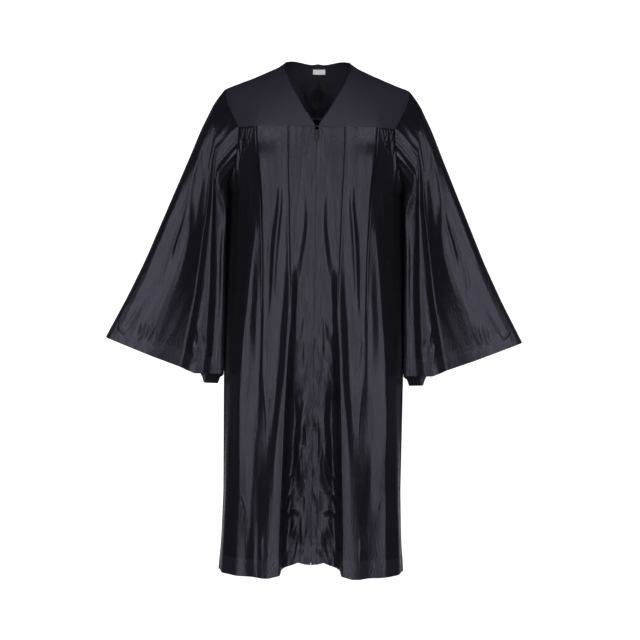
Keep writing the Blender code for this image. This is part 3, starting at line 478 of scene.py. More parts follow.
# how far the chest stands forward at the yoke seam: distance from the zip and rise, in millimetres
chest = np.array(((0, 0), (60, 0), (84, 1.3), (98, 2.8), (120, 5.2), (138, 7.4), (146, 6.4), (164, 2.6), (182, 0)))


def chestRise(x):
    return np.interp(np.abs(x) * 1000, chest[:, 0], chest[:, 1]) / 1000


def frontYoke(name, mirror):
    arches = np.radians(np.linspace(0, 90, yoke["rows"] + 1))
    lift = np.cos(arches)
    innerX = tableValue(neckLine[:, 0], neckLine[:, 1], lift, 0.03)
    innerX[0] = gown["neckSide"]
    outerX = yokeArmholeX(lift)
    share = np.linspace(0, 1, yoke["columns"] + 1) ** 1.15
    x = innerX[:, None] + (outerX - innerX)[:, None] * share
    arch = np.repeat(arches[:, None], len(share), axis=1)
    points = yokePoint(x, arch, -1)
    away = (x - innerX[:, None])
    edge = yoke["edge"] * np.exp(-((away - 0.0030) / 0.0022) ** 2) - 0.0008 * np.exp(-(away / 0.0014) ** 2)
    toArmhole = outerX[:, None] - x
    edge = edge - 0.0002 * np.exp(-(toArmhole / 0.0014) ** 2)
    edge = edge + ripple(x, points[..., 2], 9 if mirror else 8, 0.00025, 0.05, 0.07)
    normal = np.stack([x * 0.6, points[..., 1], 0.25 * np.cos(arch)], axis=-1)
    normal = normal / np.linalg.norm(normal, axis=2, keepdims=True)
    points = points + normal * edge[..., None]
    points[..., 1] -= chestRise(x) * smooth(1 - (points[..., 2] - gown["frontSeam"]) / gown["chestFade"])
    uv = flatLengths(points)
    if mirror:
        points = mirrored(points)
    return clothPiece(name, points, uv, (0, -1, 0.3)), points, uv


def backYoke():
    share = np.linspace(-1, 1, 121)
    down = np.linspace(0, 1, 41)[:, None]
    neck = gown["neckSide"] / gown["shoulderTip"]
    scoop = np.cos(math.pi / 2 * np.clip(np.abs(share) / neck, 0, 1)) ** 0.8
    topArch = math.radians(gown["neckArch"]) * np.where(np.abs(share) < neck, scoop, 0)
    arch = topArch + (math.pi / 2 - topArch) * down
    x = share * yokeArmholeX(np.cos(math.pi / 2 * down))
    points = yokePoint(x, arch, 1)
    z = points[..., 2]
    out = ripple(x, z, 12, 0.0003, 0.05, 0.07)
    out = out + crease(x, z, ((0.001, 0.000), (0.000, -0.040), (0.002, -0.090)), 7.0, 3.5)
    out = out + crease(x, z, ((-0.030, -0.010), (-0.016, -0.030), (-0.008, -0.060)), 7.0, -2.0)
    out = out + crease(x, z, ((0.030, -0.010), (0.018, -0.030), (0.010, -0.060)), 7.0, -2.0)
    out = out + crease(x, z, ((-0.030, -0.050), (-0.020, -0.075), (-0.012, -0.100)), 5.0, 1.5)
    out = out + crease(x, z, ((0.034, -0.045), (0.024, -0.075), (0.013, -0.100)), 5.0, 1.5)
    for line in yoke["innerCreases"]:
        out = out + crease(x, z, *line)
    points[..., 1] += out * np.sin(arch)
    uv = flatLengths(points)
    return clothPiece("backYoke", points, uv, (0, 1, 0.3)), points, uv


# Sleeves

# section: outer edge x, z; underside x, z; depth in front, depth behind
sleeveSections = np.array((
    (0.2440, -0.090, 0.2230, -0.325, 0.084, 0.084), (0.2710, -0.147, 0.2250, -0.365, 0.088, 0.087),
    (0.2935, -0.204, 0.2245, -0.408, 0.088, 0.086), (0.3290, -0.289, 0.2230, -0.470, 0.084, 0.082),
    (0.3645, -0.374, 0.2215, -0.534, 0.080, 0.078), (0.4000, -0.459, 0.2205, -0.598, 0.076, 0.074),
    (0.4403, -0.544, 0.2195, -0.667, 0.072, 0.071), (0.4780, -0.616, 0.2190, -0.728, 0.069, 0.069),
    (0.4925, -0.644, 0.2190, -0.750, 0.068, 0.068)))

sleeve = {
    # how far down the sleeve; then share of its breadth from the outer edge and share of its depth.
    # The lines in front: edge, four round it, lit face, its end, shade, valley, its bottom, three
    # over the inner crest, its foot, and the low crest over the underside.
    "front": {
        0.00: ((0, 0), (0.004, .17), (0.010, .28), (0.020, .40), (0.040, .56), (0.10, .76), (0.20, .88), (0.25, .90),
               (0.34, .93), (0.40, .945), (0.44, .97), (0.455, .975), (0.47, .97), (0.55, .95), (0.80, .86),
               (0.84, .80), (0.88, .72), (0.985, .25), (1, 0)),
        0.15: ((0, 0), (0.004, .20), (0.010, .34), (0.020, .50), (0.040, .66), (0.10, .82), (0.165, .89), (0.20, .88),
               (0.40, .80), (0.56, .76), (0.64, .86), (0.68, .88), (0.745, .86), (0.79, .74), (0.90, .56),
               (0.935, .55), (0.96, .48), (0.985, .25), (1, 0)),
        0.30: ((0, 0), (0.004, .22), (0.010, .38), (0.020, .55), (0.040, .72), (0.10, .86), (0.215, .93), (0.26, .88),
               (0.41, .85), (0.62, .58), (0.69, .80), (0.74, .84), (0.80, .81), (0.835, .60), (0.875, .54),
               (0.905, .60), (0.93, .55), (0.985, .25), (1, 0)),
        0.42: ((0, 0), (0.004, .23), (0.010, .40), (0.020, .58), (0.040, .76), (0.10, .87), (0.40, .96), (0.44, .93),
               (0.54, .72), (0.635, .52), (0.705, .78), (0.76, .82), (0.825, .79), (0.86, .56), (0.885, .52),
               (0.908, .60), (0.93, .54), (0.985, .25), (1, 0)),
        0.55: ((0, 0), (0.004, .24), (0.010, .42), (0.020, .60), (0.040, .78), (0.10, .87), (0.415, .97), (0.455, .94),
               (0.56, .70), (0.66, .48), (0.727, .76), (0.78, .80), (0.837, .78), (0.87, .54), (0.89, .50),
               (0.915, .57), (0.935, .52), (0.985, .25), (1, 0)),
        0.75: ((0, 0), (0.004, .26), (0.010, .45), (0.020, .64), (0.040, .81), (0.10, .88), (0.365, .97), (0.40, .945),
               (0.54, .68), (0.66, .42), (0.725, .74), (0.78, .78), (0.842, .765), (0.875, .52), (0.89, .49),
               (0.91, .53), (0.93, .48), (0.985, .25), (1, 0)),
        1.00: ((0, 0), (0.004, .28), (0.010, .47), (0.020, .66), (0.040, .82), (0.10, .89), (0.39, .97), (0.415, .95),
               (0.54, .66), (0.66, .40), (0.715, .71), (0.77, .76), (0.84, .75), (0.875, .50), (0.89, .47),
               (0.91, .49), (0.93, .46), (0.985, .25), (1, 0)),
    },
    "back": {
        0.00: ((0, 0), (0.004, .17), (0.010, .27), (0.040, .52), (0.10, .70), (0.30, .94), (0.42, .98),
               (0.56, .98), (0.70, .93), (0.79, .86), (0.88, .70), (0.94, .53), (0.985, .25), (1, 0)),
        0.30: ((0, 0), (0.004, .20), (0.010, .34), (0.040, .62), (0.10, .80), (0.28, .96), (0.36, .90),
               (0.52, .80), (0.60, .92), (0.66, .90), (0.76, .66), (0.86, .68), (0.985, .25), (1, 0)),
        0.65: ((0, 0), (0.004, .24), (0.010, .42), (0.040, .74), (0.10, .86), (0.22, 1.00), (0.30, .88),
               (0.46, .66), (0.56, .92), (0.60, .90), (0.72, .54), (0.84, .66), (0.985, .25), (1, 0)),
        1.00: ((0, 0), (0.004, .26), (0.010, .44), (0.040, .78), (0.10, .88), (0.20, 1.02), (0.26, .90),
               (0.44, .60), (0.54, .96), (0.60, .92), (0.72, .48), (0.84, .64), (0.985, .25), (1, 0)),
    },
    "columns": {"front": 130, "back": 84},
    "rowCount": 150,
    "corner": 0.035,        # how far a fold's corner is rounded off, in radians round the sleeve
    # gathers at the armhole: degrees round from the shoulder, width in degrees, length, rise in millimetres
    "gathers": ((30, 4.0, 0.050, 1.0), (44, 3.0, 0.100, 2.4), (54, 2.4, 0.045, 1.8), (63, 4.0, 0.160, 3.0),
                (75, 3.0, 0.075, 2.4), (83, 2.4, 0.045, 1.6), (94, 4.5, 0.130, 3.0), (106, 3.0, 0.055, 1.8),
                (120, 4.0, 0.090, 2.0), (231, 3.6, 0.050, 1.5), (244, 4.2, 0.110, 2.6), (256, 2.6, 0.050, 1.8),
                (266, 3.4, 0.080, 2.4), (278, 4.4, 0.140, 3.0), (290, 2.6, 0.050, 1.8), (300, 3.6, 0.100, 2.4),
                (313, 3.0, 0.060, 1.8), (327, 3.6, 0.070, 1.2)),
    "gatherLean": 190,      # degrees a metre that they turn towards the underside
    "lap": 0.019,           # the front laps over the body's side, over this many degrees from the underside
    "lapTurn": 55,
    "levelFrom": 0.783,     # the cuff runs level from this share of its breadth
    "tailFrom": 0.815,      # and behind, a tail hangs lower
    "tailSlant": 0.030,
    "tailDrop": 0.108,
    "tailEnd": 0.965,
    "undersideLift": 0.015,
}

sleeveCreases = (
    (((0.3060, -0.350), (0.3130, -0.376), (0.3315, -0.434), (0.3400, -0.470)), 4.0, -2.2),
    (((0.2950, -0.320), (0.3040, -0.370), (0.3200, -0.420), (0.3330, -0.480)), 4.5, 1.8),
    (((0.3420, -0.440), (0.3540, -0.490), (0.3600, -0.540)), 5.0, 1.2),
    (((0.3320, -0.320), (0.3560, -0.400), (0.3980, -0.490)), 6.0, 1.0),
    (((0.4000, -0.560), (0.4300, -0.610), (0.4550, -0.650)), 5.0, 1.2),
    (((0.4400, -0.640), (0.4520, -0.625), (0.4600, -0.612)), 3.0, 1.8),
    (((0.3760, -0.600), (0.3860, -0.640), (0.3960, -0.660)), 4.0, 2.6),
    (((0.3680, -0.620), (0.3780, -0.650), (0.3740, -0.675)), 4.0, -2.2),
    (((0.3950, -0.600), (0.4050, -0.640), (0.4200, -0.650)), 5.0, 2.0),
    (((0.2760, -0.600), (0.2680, -0.640), (0.2740, -0.675)), 4.0, 2.0),
    (((0.2620, -0.630), (0.2580, -0.670), (0.2640, -0.700)), 4.0, -2.0),
    (((0.2860, -0.640), (0.2780, -0.690), (0.2880, -0.710)), 4.0, 1.8),
    (((0.2800, -0.150), (0.2700, -0.220), (0.2680, -0.300)), 5.0, 1.2),
)


def armholeLines(side):
    arches = np.radians(np.linspace(0, 90, 90))
    top = yokePoint(yokeArmholeX(np.cos(arches)), arches, side)
    seam = gown["frontSeam"] if side < 0 else gown["backSeam"]
    heights = np.linspace(seam, gown["underarm"], 90)[1:]
    halfWidth, front, back = ringSize(heights)
    angle = sideAngle(heights)
    depth = front if side < 0 else back
    low = np.stack([halfWidth * np.sin(angle), side * depth * np.cos(angle), heights], axis=-1)
    line = np.concatenate([top, low])
    return line[::-1]


def sleeveProfile(side, unfolded, down):
    rows = sleeve[side]
    heights = np.array(sorted(rows))
    table = np.array([rows[key] for key in heights])
    stations = np.arccos(1 - 2 * table[..., 0])
    places = np.stack([tableValue(heights, stations[:, i], down, 0.06) for i in range(stations.shape[1])], axis=1)
    values = np.stack([tableValue(heights, table[:, i, 1], down, 0.06) for i in range(stations.shape[1])], axis=1)
    depth = np.zeros((len(down), len(unfolded)))
    for row in range(len(down)):
        for step in np.linspace(-1, 1, 9):
            away = unfolded + step * sleeve["corner"] * np.clip(np.sin(unfolded) * 1.6, 0.15, 1)
            depth[row] += np.interp(away, places[row], values[row]) / 9
    return depth


def cuffShift(turn, down):
    share = (1 - np.cos(turn)) / 2
    slope = sleeveSections[-1, 1] - sleeveSections[-1, 3]
    level = slope * np.clip(share - sleeve["levelFrom"], 0, None)
    atEnd = smooth((share - sleeve["tailEnd"]) / (1 - sleeve["tailEnd"]))
    front = level + (sleeve["undersideLift"] - level) * atEnd
    tail = -(sleeve["tailDrop"] - slope * share) * smooth((share - sleeve["tailFrom"]) / sleeve["tailSlant"])
    behind = tail + (sleeve["undersideLift"] - tail) * atEnd
    return np.where(turn < math.pi, front, behind) * smooth((down - 0.75) / 0.25)


def sleevePoints(turn, down, seed):
    keys = np.linspace(0, 1, len(sleeveSections))
    outerX, outerZ, innerX, innerZ, front, back = [
        tableValue(keys, sleeveSections[:, i], down, 0.03) for i in range(6)]
    share = (1 - np.cos(turn)) / 2
    onFront = turn < math.pi
    unfolded = np.where(turn[0] <= math.pi, turn[0], 2 * math.pi - turn[0])
    depth = np.where(onFront, -front * sleeveProfile("front", unfolded, down[:, 0]),
                     back * sleeveProfile("back", unfolded, down[:, 0]))
    x = outerX + (innerX - outerX) * share
    z = outerZ + (innerZ - outerZ) * share
    relief = ripple(x + 0.45 * z + np.where(onFront, 0, 0.5), z, seed, 0.00022, 0.034, 0.30)
    for line in sleeveCreases:
        relief = relief + np.where(onFront, crease(x, z, *line), 0)
    for line in sleeveCreases[::2]:
        moved = [(px + 0.012, pz + 0.05) for px, pz in line[0]]
        relief = relief + np.where(onFront, 0, crease(x, z, moved, line[1] * 1.3, line[2]))
    lean = np.clip(np.sin(unfolded) * 1.3, 0, 1)
    depth = depth + np.where(onFront, -1, 1) * relief * lean
    fromUnderside = np.clip((math.pi - turn) / math.radians(sleeve["lapTurn"]), 0, 1)
    x = x - sleeve["lap"] * np.sin(math.pi * fromUnderside) ** 2 * smooth((down + 0.16) / 0.18)
    return np.stack([x, depth, z + cuffShift(turn, down)], axis=-1)


def makeSleeve(name, mirror, seed):
    frontTurn = np.linspace(0, math.pi, sleeve["columns"]["front"] + 1)[:-1]
    backTurn = np.linspace(math.pi, 2 * math.pi, sleeve["columns"]["back"] + 1)[:-1]
    turn = np.concatenate([frontTurn, backTurn])
    down = np.linspace(0, 1, sleeve["rowCount"]) ** 1.05
    turns = np.repeat(turn[None, :], len(down), axis=0)
    downs = np.repeat(down[:, None], len(turn), axis=1)
    points = sleevePoints(turns, downs, seed)
    frontLine, backLine = armholeLines(-1), armholeLines(1)
    tip, bottom = frontLine[-1, 2], gown["underarm"]
    height = tip - (tip - bottom) * (1 - np.cos(turn)) / 2
    ring = np.stack([np.where(turn <= math.pi, np.interp(height, frontLine[:, 2], frontLine[:, i]),
                              np.interp(height, backLine[:, 2], backLine[:, i])) for i in range(3)], axis=-1)
    ring[:, 2] = height
    ring[:, 0] += 0.0007
    start = []
    for share in np.linspace(0, 1, 15)[:-1]:
        row = ring + (points[0] - ring) * share
        row[:, 0] += math.sin(math.pi * share) * 0.0015
        start.append(row)
    inward = np.stack([0 * turn, 0.0018 * np.sin(turn), -0.0018 * np.cos(turn)], axis=-1)
    allowance = [ring + inward + (-0.0040, 0, 0), ring + inward]
    points = np.concatenate([np.array(allowance + start), points])
    # gathers, from the armhole seam outwards
    steps = np.linalg.norm(np.diff(points, axis=0), axis=2)
    along = np.concatenate([np.zeros((1, len(turn))), np.cumsum(steps, axis=0)])
    pull = 0 * along
    for place, width, length, rise in sleeve["gathers"]:
        lean = math.radians(sleeve["gatherLean"]) * along * (1 if place < 180 else -1)
        bump = np.exp(-((turn[None, :] - math.radians(place) - lean) / math.radians(width)) ** 2)
        pull = pull + rise / 1000 * bump * smooth(along / 0.007) * np.exp(-(along / length) ** 2)
    lean = np.clip(np.abs(np.sin(turn)) * 1.3, 0, 1)
    points[..., 1] += np.where(turn < math.pi, -1, 1) * lean * pull
    points[..., 2] += (1 - lean) * pull
    uv = flatLengths(points, closed=True)
    if mirror:
        points = mirrored(points)
    side = -1 if mirror else 1
    return clothPiece(name, points, uv, (side * 0.3, -1, 0.0), closed=True), points, uv


# Finishes

class Wire:
    # wraps one output of a node, so that a sum written in Python becomes Math nodes
    def __init__(self, tree, socket):
        self.tree, self.socket = tree, socket

    def node(self, kind, settings=None, out=0, **inputs):
        made = self.tree.nodes.new(kind)
        for key, value in (settings or {}).items():
            setattr(made, key, value)
        for key, value in inputs.items():
            place = int(key[2:]) if key.startswith("in") and key[2:].isdigit() else key.replace("_", " ")
            if isinstance(value, Wire):
                self.tree.links.new(value.socket, made.inputs[place])
            else:
                made.inputs[place].default_value = value
        return Wire(self.tree, made.outputs[out])

    def maths(self, how, *others):
        inputs = {f"in{i}": value for i, value in enumerate((self, *others))}
        return self.node("ShaderNodeMath", {"operation": how}, **inputs)

    def flipped(self, how, first):
        return self.node("ShaderNodeMath", {"operation": how}, in0=first, in1=self)

    def __add__(self, other): return self.maths("ADD", other)
    def __radd__(self, other): return self.maths("ADD", other)
    def __sub__(self, other): return self.maths("SUBTRACT", other)
    def __rsub__(self, other): return self.flipped("SUBTRACT", other)
    def __mul__(self, other): return self.maths("MULTIPLY", other)
    def __rmul__(self, other): return self.maths("MULTIPLY", other)
    def __lt__(self, other): return self.maths("LESS_THAN", other)


finishes = {
    # satin: dark and light mix at random; "hem" adds painted sheen, a band along the hem coloured lighter
    "satin": {"dark": (0.0056, 0.0053, 0.0076), "light": (0.0086, 0.0081, 0.0114), "rough": 0.22, "level": 0.20,
              "tint": (0.82, 0.78, 1.0), "thread": 0.00045, "depth": 0.00004, "hem": True, "grain": 0.00085},
    # the yoke's colours are several times lighter than the satin's: painted sheen, the light the black satin reflects
    # where it faces the softbox, put into its colour
    "yoke": {"dark": (0.0182, 0.0171, 0.0251), "light": (0.0232, 0.0218, 0.0319), "rough": 0.60, "level": 0.20,
             "tint": (0.90, 0.87, 1.0), "thread": 0.00055, "depth": 0.00006, "hem": False, "grain": 0.00020},
    "tape": {"dark": (0.008, 0.008, 0.009), "light": (0.014, 0.014, 0.016), "rough": 0.85, "level": 0.2,
             "tint": (1, 1, 1), "thread": 0.0009, "depth": 0.00015, "hem": False, "grain": 0.00020},
    "thread": {"dark": (0.010, 0.009, 0.013), "light": (0.020, 0.018, 0.026), "rough": 0.55, "level": 0.35,
               "tint": (0.9, 0.9, 1), "thread": 0.0003, "depth": 0.00003, "hem": False, "grain": 0.00020},
    "label": {"dark": (0.93, 0.93, 0.93), "light": (0.98, 0.98, 0.98), "rough": 0.55, "level": 0.4,
              "tint": (1, 1, 1), "thread": 0.0006, "depth": 0.00008, "hem": False, "grain": 0.00020},
}


def startMaterial(name):
    made = bpy.data.materials.new(name)
    made.use_nodes = True
    tree = made.node_tree
    shader = tree.nodes["Principled BSDF"]
    return made, tree, shader, Wire(tree, None)


def clothMaterial(name, look):
    made, tree, shader, wire = startMaterial(name)
    uv = wire.node("ShaderNodeUVMap", {"uv_map": "cloth"})
    across = wire.node("ShaderNodeSeparateXYZ", in0=uv, out=0)
    along = wire.node("ShaderNodeSeparateXYZ", in0=uv, out=1)
    pitch = 2 * math.pi / look["thread"]
    # satin floats: long threads along the cloth, each row starting a little further on
    rows = (across * pitch).maths("SINE")
    floats = ((along * (pitch / 5) + across * (pitch * 2)).maths("SINE"))
    weave = rows * 0.6 + floats * 0.4
    streaks = wire.node("ShaderNodeTexNoise", {"noise_dimensions": "2D"}, Scale=1.0, Detail=3.0, Roughness=0.6,
                        Vector=wire.node("ShaderNodeMapping", in0=uv, Scale=(260, 18, 1)))
    patches = wire.node("ShaderNodeTexNoise", {"noise_dimensions": "2D"}, Scale=14.0, Detail=2.0, Vector=uv)
    mask = streaks * 0.5 + patches * 0.5
    shade = mask
    # painted sheen: the turned-up hem band is coloured lighter, standing in for the light it catches
    if look["hem"]:
        hem = (along < 0.040) * 1.6
        shade = (mask + hem).maths("MINIMUM", 2.4)
    colour = wire.node("ShaderNodeMix", {"data_type": "RGBA", "clamp_factor": False}, out=2,
                       in0=shade, in6=(*look["dark"], 1), in7=(*look["light"], 1))
    tree.links.new(colour.socket, shader.inputs["Base Color"])
    rough = (streaks - 0.5) * 0.10 + (patches - 0.5) * 0.08 + look["rough"]
    tree.links.new(rough.socket, shader.inputs["Roughness"])
    bump = wire.node("ShaderNodeBump", Strength=0.5, Distance=look["depth"], Height=weave)
    grain = wire.node("ShaderNodeTexNoise", {"noise_dimensions": "2D"}, Scale=1.0, Detail=2.0, Roughness=0.6,
                      Vector=wire.node("ShaderNodeMapping", in0=uv, Scale=(230, 80, 1)))
    bump = wire.node("ShaderNodeBump", Strength=0.6, Distance=look["grain"], Height=grain, Normal=bump)
    tree.links.new(bump.socket, shader.inputs["Normal"])
    shader.inputs["Specular IOR Level"].default_value = look["level"]
    shader.inputs["Specular Tint"].default_value = (*look["tint"], 1)
    return made


def metalMaterial(name):
    made, tree, shader, wire = startMaterial(name)
    place = wire.node("ShaderNodeTexCoord", out=3)
    wear = wire.node("ShaderNodeTexNoise", Scale=900.0, Detail=4.0, Vector=place)
    fine = wire.node("ShaderNodeTexNoise", Scale=4000.0, Detail=2.0, Vector=place)
    bare = ((wear - 0.60) * 9).maths("MINIMUM", 1.0).maths("MAXIMUM", 0.0)
    colour = wire.node("ShaderNodeMix", {"data_type": "RGBA"}, out=2, in0=bare * 0.5,
                       in6=(0.006, 0.006, 0.007, 1), in7=(0.16, 0.16, 0.17, 1))
    tree.links.new(colour.socket, shader.inputs["Base Color"])
    tree.links.new((fine * 0.14 + 0.36).socket, shader.inputs["Roughness"])
    tree.links.new((bare * 0.5 + 0.1).socket, shader.inputs["Metallic"])
    bump = wire.node("ShaderNodeBump", Strength=0.3, Distance=0.00003, Height=fine)
    tree.links.new(bump.socket, shader.inputs["Normal"])
    shader.inputs["Specular IOR Level"].default_value = 0.22
    return made


satin = clothMaterial("satin cloth", finishes["satin"])
# the yokes' material carries painted sheen in its lighter colour
fused = clothMaterial("fused yoke cloth", finishes["yoke"])
tape = clothMaterial("zip tape weave", finishes["tape"])
labelCloth = clothMaterial("label weave", finishes["label"])
enamel = metalMaterial("black enamel")
thread = clothMaterial("sewing thread", finishes["thread"])


def dress(piece, material, slot, *nodes):
    piece.data.materials.clear()
    piece.data.materials.append(material)
    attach(piece, "gown")
    if nodes:
        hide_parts(*nodes)
    return piece


def measured(piece):
    return sum(face.area for face in piece.data.polygons) / 2


# Making everything

frontLeft, leftPoints, leftUv = frontPanel("frontPanelLeft", False, 4)
dress(frontLeft, satin, "satin", "front_panel_left")
frontRight, rightPoints, rightUv = frontPanel("frontPanelRight", True, 5)
dress(frontRight, satin, "satin", "front_panel_right")
print("front panels", round(measured(frontLeft), 4), round(measured(frontRight), 4))

back, backPoints, backUv = backPanel()
dress(back, satin, "satin", "back_panel")
print("back panel", round(measured(back), 4))

yokeLeft, yokePoints, yokeUv = frontYoke("frontYokeLeft", False)
dress(yokeLeft, fused, "fused_satin", "front_yoke_left")
yokeRight, yokeRightPoints, yokeRightUv = frontYoke("frontYokeRight", True)
dress(yokeRight, fused, "fused_satin", "front_yoke_right")
yokeBack, yokeBackPoints, yokeBackUv = backYoke()
dress(yokeBack, fused, "fused_satin", "back_yoke")
print("yokes", round(measured(yokeLeft), 4), round(measured(yokeBack), 4))

sleeveLeft, sleevePointsLeft, sleeveUv = makeSleeve("sleeveLeft", False, 2)
dress(sleeveLeft, satin, "satin", "sleeve_left")
sleeveRight, sleevePointsRight, sleeveRightUv = makeSleeve("sleeveRight", True, 3)
dress(sleeveRight, satin, "satin", "sleeve_right")
print("sleeves", round(measured(sleeveLeft), 4), round(measured(sleeveRight), 4))

for name in ("zip_slider", "zip_pull", "zip_bottom_stop"):
    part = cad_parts[name]
    part.data.materials.clear()
    part.data.materials.append(enamel)


# Zip: a tape behind each edge of the cloth, and a row of teeth on it

zipper = {"tapeInner": 0.00015, "tapeOuter": 0.0130, "behind": 0.0019, "postTop": -0.1623, "postRoom": 0.0013,
          "pitch": 0.00125, "teethTop": -0.1640, "tooth": 0.0021, "wire": 0.00042}


def zipTape(name, panelPoints, side):
    rows = [row for row in panelPoints if gown["zipBottom"] < row[0, 2] - hemLift(0, row[0, 2]) < gown["zipTop"]]
    points = []
    for row in rows:
        inner = zipper["postRoom"] if row[0, 2] > zipper["postTop"] else zipper["tapeInner"]
        x = np.linspace(inner, zipper["tapeOuter"], 8)
        reach = np.abs(row[:14, 0])
        y = np.interp(x, reach, row[:14, 1]) + zipper["behind"]
        points.append(np.stack([side * x, y, np.full(8, row[0, 2])], axis=-1))
    points = np.array(points)
    uv = flatLengths(points)
    return clothPiece(name, points, uv, (0, -1, 0), thickness=0.0006), points


def zipTeeth(name, tapePoints, side):
    bpy.ops.mesh.primitive_cylinder_add(vertices=6, radius=zipper["wire"], depth=zipper["tooth"],
                                        rotation=(0, math.radians(90), 0))
    teeth = bpy.context.object
    teeth.name = name
    bpy.ops.object.transform_apply(rotation=True)
    count = int((zipper["teethTop"] - tapePoints[-1, 0, 2]) / zipper["pitch"])
    copies = teeth.modifiers.new("copies", "ARRAY")
    copies.count = count
    copies.use_relative_offset = False
    copies.use_constant_offset = True
    copies.constant_offset_displace = (0, 0, -zipper["pitch"])
    finishPiece(teeth)
    start = zipper["teethTop"] - (zipper["pitch"] / 2 if side < 0 else 0)
    line = tapePoints[::-1, 0]
    for vertex in teeth.data.vertices:
        vertex.co.x += side * zipper["tooth"] * 0.42
        vertex.co.z += start
        vertex.co.y += np.interp(vertex.co.z, line[:, 2], line[:, 1]) - 0.0002
    return teeth


tapes, teeth = [], []
for side, points, end in ((1, leftPoints, "left"), (-1, rightPoints, "right")):
    made, tapePoints = zipTape("zipTape" + end.capitalize(), points, side)
    tapes.append(dress(made, tape, "zip_tape", "zip_tape_" + end))
    teeth.append(dress(zipTeeth("zipTeeth" + end.capitalize(), tapePoints, side), enamel, "zip_metal"))
print("zip", len(teeth[0].data.polygons))

# Label: white woven, bare, sewn inside the back neck

neckLabel = {"middle": 0.0030, "halfWidth": 0.0146, "top": 0.0070, "bottom": -0.0040, "behind": 0.0016, "bow": 0.0006}


def labelPiece():
    x = np.linspace(-1, 1, 13) * neckLabel["halfWidth"] + neckLabel["middle"]
    z = np.linspace(neckLabel["top"], neckLabel["bottom"], 8)
    x, z = np.meshgrid(x, z)
    arch = np.arccos((z - gown["backSeam"]) / (shoulderHeight(x) - gown["backSeam"]))
    points = yokePoint(x, arch, 1)
    across = (x - neckLabel["middle"]) / neckLabel["halfWidth"]
    points[..., 1] -= neckLabel["behind"] + neckLabel["bow"] * (1 - across ** 2)
    points[..., 2] -= 0.0004
    return clothPiece("neckLabel", points, flatLengths(points), (0, -1, 0), thickness=0.0004), points


neckTag, _ = labelPiece()
dress(neckTag, labelCloth, "label", "label")


# Stitches: one stitch is modelled and copied along the hems, the cuffs, the zip strips, the yoke seams and the V-neck

sewing = {"pitch": 0.0030, "length": 0.0022, "thread": 0.00022, "hem": 0.0390, "cuff": 0.0250, "seam": 0.0020,
          "vNeck": 0.0060, "strip": 0.0125}


def oneStitch():
    bpy.ops.mesh.primitive_uv_sphere_add(segments=5, ring_count=3, radius=1)
    stitch = bpy.context.object
    stitch.rotation_euler = (0, math.radians(90), 0)
    bpy.ops.object.transform_apply(rotation=True)
    stitch.scale = (sewing["length"] / 2, sewing["thread"], sewing["thread"])
    bpy.ops.object.transform_apply(scale=True)
    verts = np.array([vertex.co[:] for vertex in stitch.data.vertices])
    faces = [tuple(face.vertices) for face in stitch.data.polygons]
    bpy.data.objects.remove(stitch, do_unlink=True)
    return verts, faces


stitchVerts, stitchFaces = oneStitch()


def withNormals(points, outward, closed=False):
    across = np.gradient(points, axis=1)
    if closed:
        across = (np.roll(points, -1, axis=1) - np.roll(points, 1, axis=1)) / 2
    normal = np.cross(across, np.gradient(points, axis=0))
    normal = normal / np.maximum(np.linalg.norm(normal, axis=2, keepdims=True), 1e-9)
    middle = normal[points.shape[0] // 2, points.shape[1] // 3]
    if np.dot(middle, outward) < 0:
        normal = -normal
    return np.concatenate([points, normal], axis=2)


def lineAt(grid, measure, value):
    # where the measure crosses the value, down each column of the grid
    line = []
    for place in range(grid.shape[1]):
        gap = measure[:, place] - value
        crossing = np.nonzero(gap[:-1] * gap[1:] <= 0)[0]
        if len(crossing):
            row = crossing[0]
            share = gap[row] / (gap[row] - gap[row + 1])
            line.append(grid[row, place] * (1 - share) + grid[row + 1, place] * share)
    return np.array(line)


def sew(name, *lines):
    verts, faces = [], []
    for line in lines:
        lengths = np.linalg.norm(np.diff(line[:, :3], axis=0), axis=1)
        done = np.concatenate([[0], np.cumsum(lengths)])
        for place in np.arange(sewing["pitch"] / 2, done[-1] - sewing["pitch"] / 2, sewing["pitch"]):
            at = np.array([np.interp(place, done, line[:, i]) for i in range(6)])
            ahead = np.array([np.interp(place + 0.001, done, line[:, i]) for i in range(3)])
            along = ahead - at[:3]
            along = along / max(np.linalg.norm(along), 1e-9)
            up = at[3:] - along * np.dot(at[3:], along)
            up = up / max(np.linalg.norm(up), 1e-9)
            frameAt = np.stack([along, np.cross(up, along), up])
            first = len(verts)
            verts += (at[:3] + up * sewing["thread"] * 0.4 + stitchVerts @ frameAt).tolist()
            faces += [tuple(first + corner for corner in face) for face in stitchFaces]
    data = bpy.data.meshes.new(name)
    data.from_pydata(verts, [], faces)
    piece = bpy.data.objects.new(name, data)
    bpy.context.scene.collection.objects.link(piece)
    data.shade_smooth()
    return dress(piece, thread, "satin")


def turned(grid, measure, value):
    return lineAt(grid.transpose(1, 0, 2), measure.T, value)


for end, points, uv, yokes, yokesUv in (("Left", leftPoints, leftUv, yokePoints, yokeUv),
                                        ("Right", rightPoints, rightUv, yokeRightPoints, yokeRightUv)):
    panel = withNormals(points, (0, -1, 0))
    shoulder = withNormals(yokes, (0, -1, 0.3))
    sew("frontStitches" + end, lineAt(panel, uv[..., 1], sewing["hem"]),
        turned(panel, np.abs(points[..., 0]), sewing["strip"]))
    sew("yokeStitches" + end, lineAt(shoulder, yokesUv[..., 1], sewing["seam"]),
        turned(shoulder, yokesUv[..., 0], sewing["vNeck"]))
sew("backStitches", lineAt(withNormals(backPoints, (0, 1, 0)), backUv[..., 1], sewing["hem"]),
    lineAt(withNormals(yokeBackPoints, (0, 1, 0.3)), yokeBackUv[..., 1], sewing["seam"]))
for end, points, uv, side in (("Left", sleevePointsLeft, sleeveUv, 1),
                              ("Right", sleevePointsRight, sleeveRightUv, -1)):
    grid = withNormals(points, (side * 0.3, -1, 0), closed=True)
    sew("cuffStitches" + end, lineAt(grid, uv[:, :-1, 1], sewing["cuff"]))
print("stitches")

# Studio: white cove, one big soft light in front, dim all round

